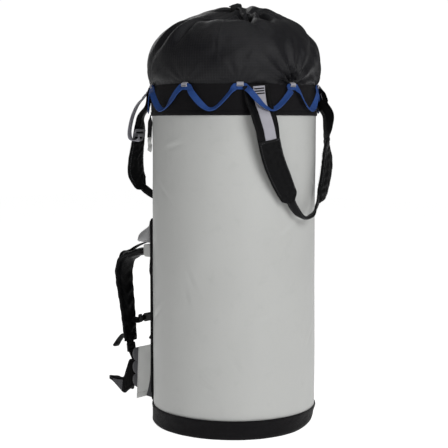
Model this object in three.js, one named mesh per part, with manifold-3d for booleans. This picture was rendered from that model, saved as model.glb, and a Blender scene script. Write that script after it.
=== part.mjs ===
// Haul bag: a tall coated-fabric tube with a gathered storm collar, webbing gear loops around its rim,
// two padded haul straps and a pack harness on its back.
// Millimetres, +Z up. The origin is the centre of the base's underside. -Y is the front, the harness is
// on +Y, and the bag is symmetric about the plane X = 0 apart from its lie. Angles around the bag are
// measured from the front, towards +X.
import * as THREE from 'three';
import { mergeVertices } from 'three/addons/utils/BufferGeometryUtils.js';
import Module from 'manifold-3d';

const wasm = await Module();
wasm.setup();

// ---- driving dimensions ----
const BODY_RADIUS = 215;
const WALL = 4;                 // every fabric wall of the tube
const BASE_BAND_HEIGHT = 48;
const COLLAR_LOW = 809;
const COLLAR_TOP = 882;
const SEAM_GAP = 0.3;           // clearance between sewn neighbours
const BASE_THICKNESS = 5;
const ROUND_SEGMENTS = 56;
const PLATE_SEGMENTS = 10;
const STORM_SEGMENTS = 40;

const RIM_WEBBING = { low: 862, thickness: 4 };

// Storm collar: outer radius and height of each ring, from the rim up and in to the gathered hem.
const STORM_RINGS = [[211, 882.4], [215, 890], [221, 903], [224, 925], [223, 955], [219, 976], [210, 996],
  [196, 1012], [178, 1028], [156, 1044], [130, 1057], [100, 1066], [70, 1069], [45, 1067], [28, 1063],
  [17, 1060]];
const STORM_THICKNESS = 3;
const STORM_LINING = { rim: 900, shoulder: 1000, flatInset: 1 };
const GATHER = { x: -20, y: -55, tilt: 20, leanDirection: -51, tiltFrom: 178, tiltTo: 70 };

const DRAWCORD = { diameter: 3, loopRadius: 14.2, loopLift: 2.6, pitch: 3.6, tail: 52, steps: 44 };
const CORD_LOCK = { radius: 9, length: 20, bore: 6, floor: 2, fromHem: 33, lift: 8.5, slot: [8.6, 7],
  travel: 3 };
// The button's plunger: play in the bore, and along the barrel its foot, neck and head past the mouth.
const PLUNGER = { play: 0.5, foot: 2.3, shank: 2, neck: [1, 5], head: [3.4, 8] };

// Gear loops: one long webbing tacked at the rim under a row of tabs, hanging in a loop between tabs.
const TAB_ANGLES = [-124, -84.3, -47.1, -9.9, 25.7, 62, 98, 133.5, 170, 203];
const LOOP = { width: 16, thickness: 2.2, peakZ: 876, lowZ: 820, peakRadius: 218.6, radius: 229.5,
  peakTwist: 0, twist: 65, flat: 3, steps: 18 };
const TAB = { width: 18, low: 869, top: 889.2, leaf: 2.2, outer: 223.2, inner: 215.7 };

// Haul straps: webbing stubs sewn to the collar, padded sleeves hanging from them and a narrow bend.
const ANCHOR = { angle: { front: 35.5, rear: 38.5 }, width: 30, low: 816.5, top: 880, radius: 216.9,
  thickness: 2.4 };
const SLEEVE = { width: 54, thickness: 7, steps: 14 };
// The angle around the bag that the flat of each sleeve lies along.
const SLEEVE_TURN = { front: { left: -26, right: 10 }, rear: { left: 0, right: 0 } };
const BEND = { width: 25, thickness: 3, steps: 22 };
const FRONT_SLEEVE = [[128, -199, 806], [123, -207, 775], [118, -211, 741], [110, -213, 710],
  [100, -217, 678], [82, -223, 636], [64, -228, 603]];
const FRONT_BEND = [[60, -229, 597], [49, -231, 580], [24, -235, 558], [-6, -237, 552],
  [-32, -235, 562], [-51, -231, 582], [-60, -229, 597]];
const REAR_SLEEVE = [[132, 202, 806], [130, 210, 786], [124, 224, 754], [121, 234, 722],
  [118, 242, 690], [112, 249, 657], [102, 246, 630]];
const REAR_BEND = [[98, 243, 622], [80, 240, 608], [42, 236, 586], [0, 235, 578],
  [-42, 236, 586], [-80, 240, 608], [-98, 243, 622]];
const REAR_LOCK_PLACE = { centre: [-134, 215.2, 757], along: [0, -10, 24] };

// Harness: panel on the back of the tube, shoulder straps, hip belt and the flaps that cover them.
const PANEL = { halfAngle: 40, inner: 215.5, outer: 221, low: 52, top: 535 };
const BACK_PAD = { halfAngle: 22, outer: 231, low: 205, top: 422 };
const YOKE = { halfWidth: 105, face: 237, low: 430, top: 463 };
const LUMBAR = { halfWidth: 116, near: 231.4, far: 262, low: 70, top: 178, corner: 9 };
const SHOULDER_X = 69;
const SHOULDER_PATH = [[244, 445.5], [263, 438], [295, 426], [322, 409], [335, 384], [336.5, 355],
  [332, 320], [326.5, 285], [322, 250], [318, 215], [314, 184]];
const SHOULDER = { topWidth: 66, width: 48, topThickness: 16, thickness: 12, taperFrom: 0.2,
  steps: 24 };
const LIFTER_PATH = [[240.5, 466.5], [262, 461], [285, 452], [303, 442.5]];
const LOWER_PATH = [[264.2, 86], [271, 96], [292, 126], [308, 150.5]];
const STRAP_WEBBING = { width: 24, thickness: 2 };
const LIFTER_LOCK_PLACE = { centre: [318, 433], along: [24, -14] };
const LOWER_LOCK_PLACE = { centre: [312.5, 166.5], along: [3, 24] };
// Ladder locks: a plate with two slots, each slotGap from the plate's middle.
const LADDER_LOCK = { width: 31, length: 26, thickness: 4, slotWidth: 24.6, slotHeight: 4.4, slotGap: 5.9,
  corner: 4 };
const HAUL_LOCK = { width: 37, length: 34, thickness: 4, slotWidth: 30.4, slotHeight: 6, slotGap: 7.6,
  corner: 5 };
const STERNUM = { z: 243, y: 310.5, width: 20, thickness: 2, strapEnd: 66, buckleEnd: 15, socketGap: 0.3,
  clipGap: 8.3 };
const STERNUM_BUCKLE = { length: 24, height: 24, depth: 10, wall: 2, clearance: 0.5, bar: 12 };
// Side-release buckles: the socket's windows and the clip's prongs, mostly as shares of the buckle's size.
const WINDOW = { narrower: 1, share: 0.36, shift: 0.08 };
const PRONGS = { reach: 0.72, guide: 0.8, width: 0.42, gap: 0.3, shoulder: 0.4, bar: 0.55 };
// Hip wings are sewn to the outer face of the lumbar pad.
const HIP_ROOT = [-102, 266];
// Hip wing stations: distance from the root in X and Y, lower edge, upper edge, thickness.
const HIP_WING = [[0, 0, 72, 138, 12], [-2, 7, 68, 141, 13], [-4, 15, 62, 140, 13],
  [-4.5, 26, 54, 112, 12], [-4, 37, 45, 86, 10], [-1, 60, 57, 83.5, 8], [2, 82, 69, 83, 6],
  [3, 98, 76, 82, 5]];
// The unclipped buckle's halves lie folded back inside the wings. place: inward, outward and height.
const HIP_BUCKLE = { length: 38, height: 26, depth: 11, wall: 2.4, clearance: 0.6, bar: 12,
  place: [9.5, 37, 68] };
const HOOD_PATH = [[224, 528], [231, 511], [243.5, 499], [255, 489.5], [262, 479.5], [259.5, 471]];
const HOOD = { width: 184, thickness: 3 };
const SIDE_FLAP = { x: -123, thickness: 2,
  outline: [[186.5, 197], [230, 186], [238, 42], [203, 54], [188, 108]] };
// The tether leans out by its lean for each unit that it hangs.
const TETHER = { angle: -134, width: 20, tabWidth: 15, thickness: 2, top: 806, tapeEnd: 749, tabEnd: 716,
  radius: 217.2, lean: 0.03 };

// ---- colours ----
const COLOURS = {
  shell: [0xc4c7c5, 0.45], ballistic: [0x2b2a2c, 0.8], ripstop: [0x202023, 0.7], blue: [0x1f3f7d, 0.7],
  grey: [0xb9b7bd, 0.75], black: [0x151516, 0.75], foam: [0x57575a, 0.9], darkGrey: [0x444446, 0.8],
  plastic: [0x0e0e10, 0.45],
};

// ---- helpers ----
const rad = THREE.MathUtils.degToRad;
const point = (x, y, z) => new THREE.Vector3(x, y, z);
const around = (angle, radius, z) => point(radius * Math.sin(rad(angle)), -radius * Math.cos(rad(angle)), z);
const tangentAt = (angle) => point(Math.cos(rad(angle)), Math.sin(rad(angle)), 0);
const X_AXIS = point(1, 0, 0);
const Z_AXIS = point(0, 0, 1);

const bag = new THREE.Group();

function piece(name, geometry, colour, parent = bag) {
  const [color, roughness] = COLOURS[colour];
  const mesh = new THREE.Mesh(geometry, new THREE.MeshStandardMaterial({ color, roughness, metalness: 0 }));
  mesh.name = name;
  parent.add(mesh);
  return mesh;
}

// A closed solid through cross-sections of equal point counts. A ring of sections closes on itself.
function loft(sections, isRing = false) {
  const count = sections[0].length;
  const positions = sections.flat().flatMap((p) => [p.x, p.y, p.z]);
  const index = [];
  const last = isRing ? sections.length : sections.length - 1;
  for (let i = 0; i < last; i += 1) {
    const a = i * count;
    const b = ((i + 1) % sections.length) * count;
    for (let j = 0; j < count; j += 1) {
      const k = (j + 1) % count;
      index.push(a + j, a + k, b + k, a + j, b + k, b + j);
    }
  }
  if (!isRing) {
    const end = (sections.length - 1) * count;
    for (let j = 1; j < count - 1; j += 1) {
      index.push(0, j + 1, j, end, end + j, end + j + 1);
    }
  }
  if (signedVolume(positions, index) < 0) index.reverse();
  const geometry = new THREE.BufferGeometry();
  geometry.setAttribute('position', new THREE.Float32BufferAttribute(positions, 3));
  geometry.setIndex(index);
  return geometry;
}

function signedVolume(positions, index) {
  const corner = (i) => new THREE.Vector3().fromArray(positions, 3 * index[i]);
  let volume = 0;
  for (let i = 0; i < index.length; i += 3) {
    volume += corner(i).dot(corner(i + 1).cross(corner(i + 2)));
  }
  return volume;
}

// A flat strap along a curve. across(u) is its width direction; sizes are numbers or functions of u.
function strap(points, { width, thickness, steps, across }) {
  const curve = new THREE.CatmullRomCurve3(points, false, 'centripetal');
  const at = (value, u) => (typeof value === 'function' ? value(u) : value);
  const sections = [];
  for (let i = 0; i <= steps; i += 1) {
    const u = i / steps;
    sections.push(flatSection(curve.getPoint(u), curve.getTangent(u), at(across, u), at(width, u),
      at(thickness, u)));
  }
  return loft(sections);
}

function flatSection(centre, tangent, across, width, thickness) {
  const normal = tangent.clone().cross(across).normalize();
  const side = normal.clone().cross(tangent).normalize();
  return [[1, 1], [-1, 1], [-1, -1], [1, -1]].map(([s, n]) => centre.clone()
    .addScaledVector(side, (s * width) / 2).addScaledVector(normal, (n * thickness) / 2));
}

// A tube-like solid turned about Z from a closed profile of [radius, z] points.
function turned(profile) {
  const outline = [...profile, profile[0]].map(([r, z]) => new THREE.Vector2(r, z));
  return new THREE.LatheGeometry(outline, ROUND_SEGMENTS).rotateX(Math.PI / 2);
}

const hoop = (inner, outer, low, top) => turned([[inner, low], [outer, low], [outer, top], [inner, top]]);

// Part of a hoop centred on the back of the bag.
function backPlate(inner, outer, halfAngle, low, top) {
  const from = rad(90 - halfAngle);
  const to = rad(90 + halfAngle);
  const shape = new THREE.Shape();
  shape.absarc(0, 0, outer, from, to, false);
  shape.absarc(0, 0, inner, to, from, true);
  return slab(shape, top - low, PLATE_SEGMENTS).translate(0, 0, low);
}

const slab = (shape, depth, curveSegments = 3) => new THREE.ExtrudeGeometry(shape,
  { depth, bevelEnabled: false, curveSegments });

function outlineShape(points) {
  return new THREE.Shape(points.map(([x, y]) => new THREE.Vector2(x, y)));
}

function roundedRectangle(width, height, corner, Outline = THREE.Shape) {
  const [x, y] = [width / 2 - corner, height / 2 - corner];
  const outline = new Outline();
  outline.absarc(x, y, corner, 0, Math.PI / 2, false);
  outline.absarc(-x, y, corner, Math.PI / 2, Math.PI, false);
  outline.absarc(-x, -y, corner, Math.PI, 1.5 * Math.PI, false);
  outline.absarc(x, -y, corner, 1.5 * Math.PI, 2 * Math.PI, false);
  return outline;
}

function solidOf(geometry) {
  const bare = geometry.clone();
  bare.deleteAttribute('normal');
  bare.deleteAttribute('uv');
  const merged = mergeVertices(bare, 1e-3);
  return new wasm.Manifold(new wasm.Mesh({ numProp: 3,
    vertProperties: Float32Array.from(merged.attributes.position.array),
    triVerts: Uint32Array.from(merged.index.array) }));
}

function geometryOf(solid) {
  const { vertProperties, triVerts } = solid.getMesh();
  const geometry = new THREE.BufferGeometry();
  geometry.setAttribute('position', new THREE.BufferAttribute(vertProperties, 3));
  geometry.setIndex(new THREE.BufferAttribute(triVerts, 1));
  return geometry;
}

const smooth = (t) => THREE.MathUtils.smoothstep(t, 0, 1);

// ---- the tube ----
function addTube() {
  const inner = BODY_RADIUS - WALL;
  const rimOuter = inner - SEAM_GAP;
  piece('base_disc', new THREE.CylinderGeometry(rimOuter, rimOuter, BASE_THICKNESS, ROUND_SEGMENTS)
    .rotateX(Math.PI / 2).translate(0, 0, BASE_THICKNESS / 2), 'ballistic');
  piece('base_band', hoop(inner, BODY_RADIUS, 0, BASE_BAND_HEIGHT), 'ballistic');
  piece('body_shell', hoop(inner, BODY_RADIUS, BASE_BAND_HEIGHT + SEAM_GAP, COLLAR_LOW - SEAM_GAP), 'shell');
  piece('collar_band', hoop(inner, BODY_RADIUS, COLLAR_LOW, COLLAR_TOP), 'ballistic');
  const { low, thickness } = RIM_WEBBING;
  piece('rim_webbing', hoop(rimOuter - thickness, rimOuter, low, COLLAR_TOP), 'black');
}

// Frame of the gathered hem: its plane leans so that the opening faces up and to one side.
function gatherFrame() {
  const lean = around(GATHER.leanDirection, 1, 0);
  const axis = Z_AXIS.clone().cross(lean).normalize();
  const [, z] = STORM_RINGS[STORM_RINGS.length - 1];
  return { axis, centre: point(GATHER.x, GATHER.y, z) };
}

function stormRing(radius, z) {
  const { axis } = gatherFrame();
  const turn = smooth((GATHER.tiltFrom - radius) / (GATHER.tiltFrom - GATHER.tiltTo));
  const shift = smooth((BODY_RADIUS - radius) / BODY_RADIUS);
  const ring = [];
  for (let j = 0; j < STORM_SEGMENTS; j += 1) {
    const spoke = around((360 * j) / STORM_SEGMENTS, radius, 0);
    spoke.applyAxisAngle(axis, rad(GATHER.tilt * turn));
    ring.push(spoke.add(point(GATHER.x * shift, GATHER.y * shift, z)));
  }
  return ring;
}

function addStormCollar() {
  const outer = STORM_RINGS.map(([r, z]) => stormRing(r, z));
  // The lining lies inside the skin: inwards where the skin is steep, and below it where it is flat.
  const { shoulder, rim, flatInset } = STORM_LINING;
  const inner = STORM_RINGS.map(([r, z]) => stormRing(r - (z < shoulder ? STORM_THICKNESS : flatInset),
    z - (z > rim ? STORM_THICKNESS : 0)));
  piece('storm_collar', loft([...outer, ...inner.reverse()], true), 'ripstop');
}

// ---- gathering cord and its lock ----
function addCordLock() {
  const { axis, centre } = gatherFrame();
  const shift = smooth((BODY_RADIUS - STORM_RINGS[STORM_RINGS.length - 1][0]) / BODY_RADIUS);
  const gather = new THREE.Group();
  gather.position.set(centre.x * shift, centre.y * shift, centre.z);
  gather.quaternion.setFromAxisAngle(axis, rad(GATHER.tilt));
  bag.add(gather);

  const half = DRAWCORD.pitch / 2;
  const start = Math.asin(half / DRAWCORD.loopRadius);
  const route = [point(half, DRAWCORD.tail, CORD_LOCK.lift + CORD_LOCK.radius),
    point(half, CORD_LOCK.fromHem - CORD_LOCK.radius - 3, CORD_LOCK.lift + CORD_LOCK.radius)];
  const turns = 14;
  for (let i = 0; i <= turns; i += 1) {
    const angle = start + ((2 * Math.PI - 2 * start) * i) / turns;
    route.push(point(DRAWCORD.loopRadius * Math.sin(angle), DRAWCORD.loopRadius * Math.cos(angle),
      DRAWCORD.loopLift));
  }
  route.push(point(-half, route[1].y, route[1].z), point(-half, DRAWCORD.tail, route[0].z));
  const curve = new THREE.CatmullRomCurve3(route, false, 'centripetal');
  const section = new THREE.Shape().absarc(0, 0, DRAWCORD.diameter / 2, 0, 2 * Math.PI, false);
  piece('drawcord', new THREE.ExtrudeGeometry(section,
    { steps: DRAWCORD.steps, extrudePath: curve, curveSegments: 4, bevelEnabled: false }), 'black', gather);

  const { radius, length, bore, floor, slot, travel } = CORD_LOCK;
  const mouth = length / 2;
  const place = point(0, CORD_LOCK.fromHem, CORD_LOCK.lift + radius);
  const barrel = (r, from, to) => new THREE.CylinderGeometry(r, r, to - from, 24)
    .rotateZ(Math.PI / 2).translate((from + to) / 2, 0, 0);
  const cordWay = solidOf(new THREE.BoxGeometry(slot[0], 4 * radius, slot[1]));
  const body = solidOf(barrel(radius, -mouth, mouth))
    .subtract(solidOf(barrel(bore, floor - mouth, length))).subtract(cordWay);
  piece('cord_lock_body', geometryOf(body), 'plastic', gather).position.copy(place);
  const way = solidOf(new THREE.BoxGeometry(slot[0] + 2 * travel, 4 * radius, slot[1]));
  const { play, foot, shank, neck, head } = PLUNGER;
  const plunger = solidOf(barrel(bore - play, foot + travel - mouth, mouth + shank))
    .subtract(way).add(solidOf(barrel(bore + play, mouth + head[0], mouth + head[1])))
    .add(solidOf(barrel(bore - play, mouth + neck[0], mouth + neck[1])));
  piece('cord_lock_button', geometryOf(plunger), 'plastic', gather).position.copy(place);
}

// ---- gear loops ----
function loopStation(from, to, t) {
  const span = to - from;
  const angle = from + span * t;
  const fromTab = Math.min(t, 1 - t) * span;
  const leaving = smooth((fromTab - LOOP.flat) / LOOP.flat);
  const hang = Math.max(0, fromTab - LOOP.flat) / (span / 2 - LOOP.flat);
  const z = LOOP.lowZ + (LOOP.peakZ - LOOP.lowZ) * (1 - hang) ** 1.7;
  const twist = rad(THREE.MathUtils.lerp(LOOP.peakTwist, LOOP.twist, leaving));
  const radius = THREE.MathUtils.lerp(LOOP.peakRadius, LOOP.radius, leaving);
  return { centre: around(angle, radius, z), angle, twist };
}

function addGearLoops() {
  const stations = [];
  TAB_ANGLES.forEach((from, i) => {
    const to = i + 1 < TAB_ANGLES.length ? TAB_ANGLES[i + 1] : TAB_ANGLES[0] + 360;
    const edge = LOOP.flat / (to - from);
    stations.push(loopStation(from, to, 0));
    for (let k = 0; k <= LOOP.steps; k += 1) {
      stations.push(loopStation(from, to, edge + ((1 - 2 * edge) * k) / LOOP.steps));
    }
  });
  const sections = stations.map(({ centre, angle, twist }, i) => {
    const before = stations[(i + stations.length - 1) % stations.length].centre;
    const after = stations[(i + 1) % stations.length].centre;
    const tangent = after.clone().sub(before).normalize();
    const outward = around(angle, 1, 0);
    const inSurface = outward.clone().cross(tangent).normalize();
    const across = inSurface.multiplyScalar(Math.cos(twist)).addScaledVector(outward, Math.sin(twist));
    return flatSection(centre, tangent, across, LOOP.width, LOOP.thickness);
  });
  piece('gear_loop_webbing', loft(sections, true), 'blue');
  TAB_ANGLES.forEach((angle, i) => addTab(angle, i + 1));
}

// A tab folded over the rim: a leaf outside the webbing and a leaf across its top.
function addTab(angle, number) {
  const { low, top, leaf, outer, inner, width } = TAB;
  const shape = outlineShape([[outer, low], [outer, top], [inner, top], [inner, top - leaf],
    [outer - leaf, top - leaf], [outer - leaf, low]]);
  const mesh = piece(`gear_loop_tab_${String(number).padStart(2, '0')}`,
    slab(shape, width).translate(0, 0, -width / 2).rotateX(Math.PI / 2).rotateZ(-Math.PI / 2), 'grey');
  mesh.rotation.z = rad(angle);
}

// ---- haul straps ----
function addHaulAnchor(name, angle) {
  const halfAngle = THREE.MathUtils.radToDeg(ANCHOR.width / 2 / ANCHOR.radius);
  const from = rad(angle - 90 - halfAngle);
  const to = rad(angle - 90 + halfAngle);
  const shape = new THREE.Shape();
  shape.absarc(0, 0, ANCHOR.radius + ANCHOR.thickness / 2, from, to, false);
  shape.absarc(0, 0, ANCHOR.radius - ANCHOR.thickness / 2, to, from, true);
  piece(name, slab(shape, ANCHOR.top - ANCHOR.low, 4).translate(0, 0, ANCHOR.low), 'grey');
}

function addHaulStrap(side, sleevePath, bendPath) {
  const { left, right } = SLEEVE_TURN[side];
  for (const [hand, sign] of [['left', -1], ['right', 1]]) {
    const angle = side === 'rear' ? 180 - sign * ANCHOR.angle.rear : sign * ANCHOR.angle.front;
    addHaulAnchor(`${side}_haul_webbing_${hand}`, angle);
    const path = sleevePath.map(([x, y, z]) => point(sign * x, y, z));
    const across = tangentAt(sign < 0 ? left : right);
    piece(`${side}_haul_sleeve_${hand}`, strap(path, { ...SLEEVE, across }), 'black');
  }
  // The bend's width turns from one sleeve's to the other's, by way of square off the wall.
  const across = (u) => tangentAt(THREE.MathUtils.lerp(right, 180 + left, u));
  const bend = bendPath.map(([x, y, z]) => point(x, y, z));
  piece(`${side}_haul_bend`, strap(bend, { ...BEND, across }), 'black');
}

// A ladder lock lying along `along`, with its width along X.
function ladderLock(name, size, centre, along) {
  const { width, length, thickness, slotWidth, slotHeight, slotGap, corner } = size;
  const plate = roundedRectangle(width, length, corner);
  for (const y of [-slotGap, slotGap]) {
    const slot = new THREE.Path();
    slot.moveTo(-slotWidth / 2, y - slotHeight / 2);
    slot.lineTo(slotWidth / 2, y - slotHeight / 2);
    slot.lineTo(slotWidth / 2, y + slotHeight / 2);
    slot.lineTo(-slotWidth / 2, y + slotHeight / 2);
    slot.closePath();
    plate.holes.push(slot);
  }
  const mesh = piece(name, slab(plate, thickness).translate(0, 0, -thickness / 2), 'plastic');
  const normal = X_AXIS.clone().cross(along).normalize();
  const frame = new THREE.Matrix4().makeBasis(X_AXIS, along.clone().normalize(), normal);
  mesh.quaternion.setFromRotationMatrix(frame);
  mesh.position.copy(centre);
}

// ---- harness ----
const inProfile = (x, path) => path.map(([y, z]) => point(x, y, z));

function addBackPanel() {
  const { inner, outer, halfAngle } = PANEL;
  piece('harness_panel', backPlate(inner, outer, halfAngle, PANEL.low, PANEL.top), 'black');
  const yokeInner = outer + SEAM_GAP;
  piece('back_pad', backPlate(yokeInner, BACK_PAD.outer, BACK_PAD.halfAngle, BACK_PAD.low, BACK_PAD.top),
    'foam');
  const edge = Math.asin(YOKE.halfWidth / yokeInner);
  const yoke = new THREE.Shape();
  yoke.moveTo(YOKE.halfWidth, YOKE.face);
  yoke.lineTo(-YOKE.halfWidth, YOKE.face);
  yoke.absarc(0, 0, yokeInner, Math.PI / 2 + edge, Math.PI / 2 - edge, true);
  piece('shoulder_yoke', slab(yoke, YOKE.top - YOKE.low, PLATE_SEGMENTS).translate(0, 0, YOKE.low), 'shell');
  const { halfWidth, near, far, low, top, corner } = LUMBAR;
  const pad = roundedRectangle(2 * halfWidth, far - near, corner);
  piece('lumbar_pad', slab(pad, top - low).translate(0, (near + far) / 2, low), 'foam');
  piece('harness_hood', strap(inProfile(0, HOOD_PATH), { ...HOOD, steps: 12, across: X_AXIS }), 'darkGrey');
}

function addShoulderStrap(hand, sign) {
  const x = sign * SHOULDER_X;
  const taper = (u) => smooth((u - SHOULDER.taperFrom) / (1 - SHOULDER.taperFrom));
  piece(`shoulder_strap_${hand}`, strap(inProfile(x, SHOULDER_PATH), {
    width: (u) => THREE.MathUtils.lerp(SHOULDER.topWidth, SHOULDER.width, taper(u)),
    thickness: (u) => THREE.MathUtils.lerp(SHOULDER.topThickness, SHOULDER.thickness, taper(u)),
    steps: SHOULDER.steps, across: X_AXIS }), 'black');
  piece(`load_lifter_webbing_${hand}`, strap(inProfile(x, LIFTER_PATH),
    { ...STRAP_WEBBING, steps: 8, across: X_AXIS }), 'black');
  ladderLock(`load_lifter_lock_${hand}`, LADDER_LOCK, point(x, ...LIFTER_LOCK_PLACE.centre),
    point(0, ...LIFTER_LOCK_PLACE.along));
  piece(`lower_webbing_${hand}`, strap(inProfile(x, LOWER_PATH),
    { ...STRAP_WEBBING, steps: 8, across: X_AXIS }), 'black');
  ladderLock(`lower_lock_${hand}`, LADDER_LOCK, point(x, ...LOWER_LOCK_PLACE.centre),
    point(0, ...LOWER_LOCK_PLACE.along));
}

function addSternumStrap() {
  const { z, y, width, thickness, strapEnd, buckleEnd, socketGap, clipGap } = STERNUM;
  const { length } = STERNUM_BUCKLE;
  for (const [hand, sign] of [['left', -1], ['right', 1]]) {
    const near = buckleEnd + (sign < 0 ? socketGap : clipGap);
    const path = [strapEnd, (strapEnd + near) / 2, near].map((x) => point(sign * x, y, z));
    piece(`sternum_webbing_${hand}`, strap(path, { width, thickness, steps: 4, across: Z_AXIS }), 'black');
  }
  const centre = point(0, y, z);
  piece('sternum_socket', buckleSocket(STERNUM_BUCKLE), 'plastic')
    .position.copy(centre).add(point(-buckleEnd + length / 2, 0, 0));
  piece('sternum_clip', buckleClip(STERNUM_BUCKLE), 'plastic')
    .position.copy(centre).add(point(-buckleEnd + length, 0, 0));
}

// A side-release buckle's socket: a flat tube along X with a window in each side, closed at -X.
function buckleSocket({ length, height, depth, wall }) {
  const outer = solidOf(slab(roundedRectangle(depth, height, depth / 2.5), length)
    .translate(0, 0, -length / 2));
  const hollow = solidOf(new THREE.BoxGeometry(depth - 2 * wall, height - 2 * wall, length)
    .translate(0, 0, wall));
  const window = solidOf(new THREE.BoxGeometry(depth - 2 * wall - WINDOW.narrower, 2 * height,
    length * WINDOW.share).translate(0, 0, length * WINDOW.shift));
  return geometryOf(outer.subtract(hollow).subtract(window)).rotateX(Math.PI / 2).rotateZ(Math.PI / 2);
}

// Its clip: a bar at +X with three prongs reaching into the socket. The origin is at the socket's mouth.
function buckleClip({ length, height, depth, wall, clearance, bar }) {
  const reach = length * PRONGS.reach;
  const guide = reach * PRONGS.guide;
  const half = height / 2 - wall - clearance;
  const prong = half * PRONGS.width;
  const gap = half * PRONGS.gap;
  const end = bar * PRONGS.bar;
  const { shoulder } = PRONGS;
  const outline = [[-reach, -half], [-reach, -half + prong], [-gap, -half + prong], [-gap, -gap],
    [-guide, -gap], [-guide, gap], [-gap, gap], [-gap, half - prong], [-reach, half - prong],
    [-reach, half], [shoulder, half], [shoulder, height / 2], [end, height / 2],
    [end, -height / 2], [shoulder, -height / 2], [shoulder, -half]];
  const thick = depth - 2 * wall - 2 * clearance;
  return slab(outlineShape(outline), thick).translate(0, 0, -thick / 2).rotateX(Math.PI / 2);
}

function addHipWing(hand, sign) {
  const [rootX, rootY] = HIP_ROOT;
  const sections = HIP_WING.map(([inward, outward, low, top, thickness]) => {
    const centre = point(-sign * (rootX + inward), rootY + outward, (low + top) / 2);
    return { centre, height: top - low, thickness };
  });
  const solid = sections.map(({ centre, height, thickness }, i) => {
    const before = sections[Math.max(0, i - 1)].centre;
    const after = sections[Math.min(sections.length - 1, i + 1)].centre;
    const tangent = after.clone().sub(before).setZ(0).normalize();
    return flatSection(centre, tangent, Z_AXIS, height, thickness);
  });
  piece(`hip_wing_${hand}`, loft(solid), 'black');
  const [inward, outward, height] = HIP_BUCKLE.place;
  const half = sign < 0 ? buckleSocket(HIP_BUCKLE) : buckleClip(HIP_BUCKLE);
  const mesh = piece(sign < 0 ? 'hip_buckle_socket' : 'hip_buckle_clip', half, 'plastic');
  mesh.rotation.z = (sign * Math.PI) / 2;
  mesh.position.set(-sign * (rootX + inward), rootY + outward, height);
}

function addSideFlap(hand, sign) {
  const { x, thickness, outline } = SIDE_FLAP;
  const shape = outlineShape(outline);
  piece(`side_flap_${hand}`, slab(shape, thickness).rotateX(Math.PI / 2).rotateZ(Math.PI / 2)
    .translate(-sign * x - thickness / 2, 0, 0), 'shell');
}

// ---- side tether: a tape with a pull tab, hanging from the collar seam ----
function addTether() {
  const { angle, width, tabWidth, thickness, top, tapeEnd, tabEnd, radius, lean } = TETHER;
  const hang = (from, to) => [from, (from + to) / 2, to]
    .map((z) => around(angle, radius + lean * (top - z), z));
  const across = tangentAt(angle);
  piece('side_tether', strap(hang(top, tapeEnd), { width, thickness, steps: 4, across }), 'black');
  piece('side_tether_tab', strap(hang(tapeEnd - SEAM_GAP, tabEnd),
    { width: tabWidth, thickness, steps: 4, across }), 'grey');
}

addTube();
addStormCollar();
addCordLock();
addGearLoops();
addHaulStrap('front', FRONT_SLEEVE, FRONT_BEND);
addHaulStrap('rear', REAR_SLEEVE, REAR_BEND);
ladderLock('rear_haul_lock', HAUL_LOCK, point(...REAR_LOCK_PLACE.centre), point(...REAR_LOCK_PLACE.along));
addBackPanel();
for (const [hand, sign] of [['left', -1], ['right', 1]]) {
  addShoulderStrap(hand, sign);
  addHipWing(hand, sign);
  addSideFlap(hand, sign);
}
addSternumStrap();
addTether();

export default bag;
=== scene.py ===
"""Looks of the haul bag: fabric skins, webbing, padding, stitching and hardware around the CAD frame."""
import math

import bpy
import numpy as np
from mathutils import Matrix, Vector, noise


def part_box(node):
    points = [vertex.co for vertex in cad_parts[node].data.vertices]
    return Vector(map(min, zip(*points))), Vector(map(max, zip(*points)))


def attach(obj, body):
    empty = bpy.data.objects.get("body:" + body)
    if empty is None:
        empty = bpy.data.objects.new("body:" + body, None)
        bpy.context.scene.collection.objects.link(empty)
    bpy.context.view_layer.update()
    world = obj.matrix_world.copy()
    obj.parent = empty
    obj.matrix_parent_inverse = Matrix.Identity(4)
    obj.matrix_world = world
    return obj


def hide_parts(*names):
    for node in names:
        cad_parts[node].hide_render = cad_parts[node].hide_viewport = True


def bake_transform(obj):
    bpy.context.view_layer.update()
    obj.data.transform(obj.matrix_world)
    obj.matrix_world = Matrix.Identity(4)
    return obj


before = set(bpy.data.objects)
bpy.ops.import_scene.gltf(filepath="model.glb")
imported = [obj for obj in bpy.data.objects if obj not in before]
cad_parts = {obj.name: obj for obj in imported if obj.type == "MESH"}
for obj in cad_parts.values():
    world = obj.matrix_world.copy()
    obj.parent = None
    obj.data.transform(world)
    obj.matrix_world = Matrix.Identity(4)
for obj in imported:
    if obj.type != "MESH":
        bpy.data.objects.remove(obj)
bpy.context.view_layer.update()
SEED = 11
scene = bpy.context.scene
MM = 0.001
X_AXIS, Y_AXIS, Z_AXIS = Vector((1, 0, 0)), Vector((0, 1, 0)), Vector((0, 0, 1))
HANDS = (("left", -1), ("right", 1))


# ---- measures read from the frame ----
def size_of(node):
    low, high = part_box(node)
    return low, high, high - low


RADIUS = size_of("body_shell")[2].x / 2
BAND_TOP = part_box("base_band")[1].z
COLLAR_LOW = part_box("collar_band")[0].z
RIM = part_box("collar_band")[1].z
PANEL_LOW, PANEL_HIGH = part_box("harness_panel")


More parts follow.
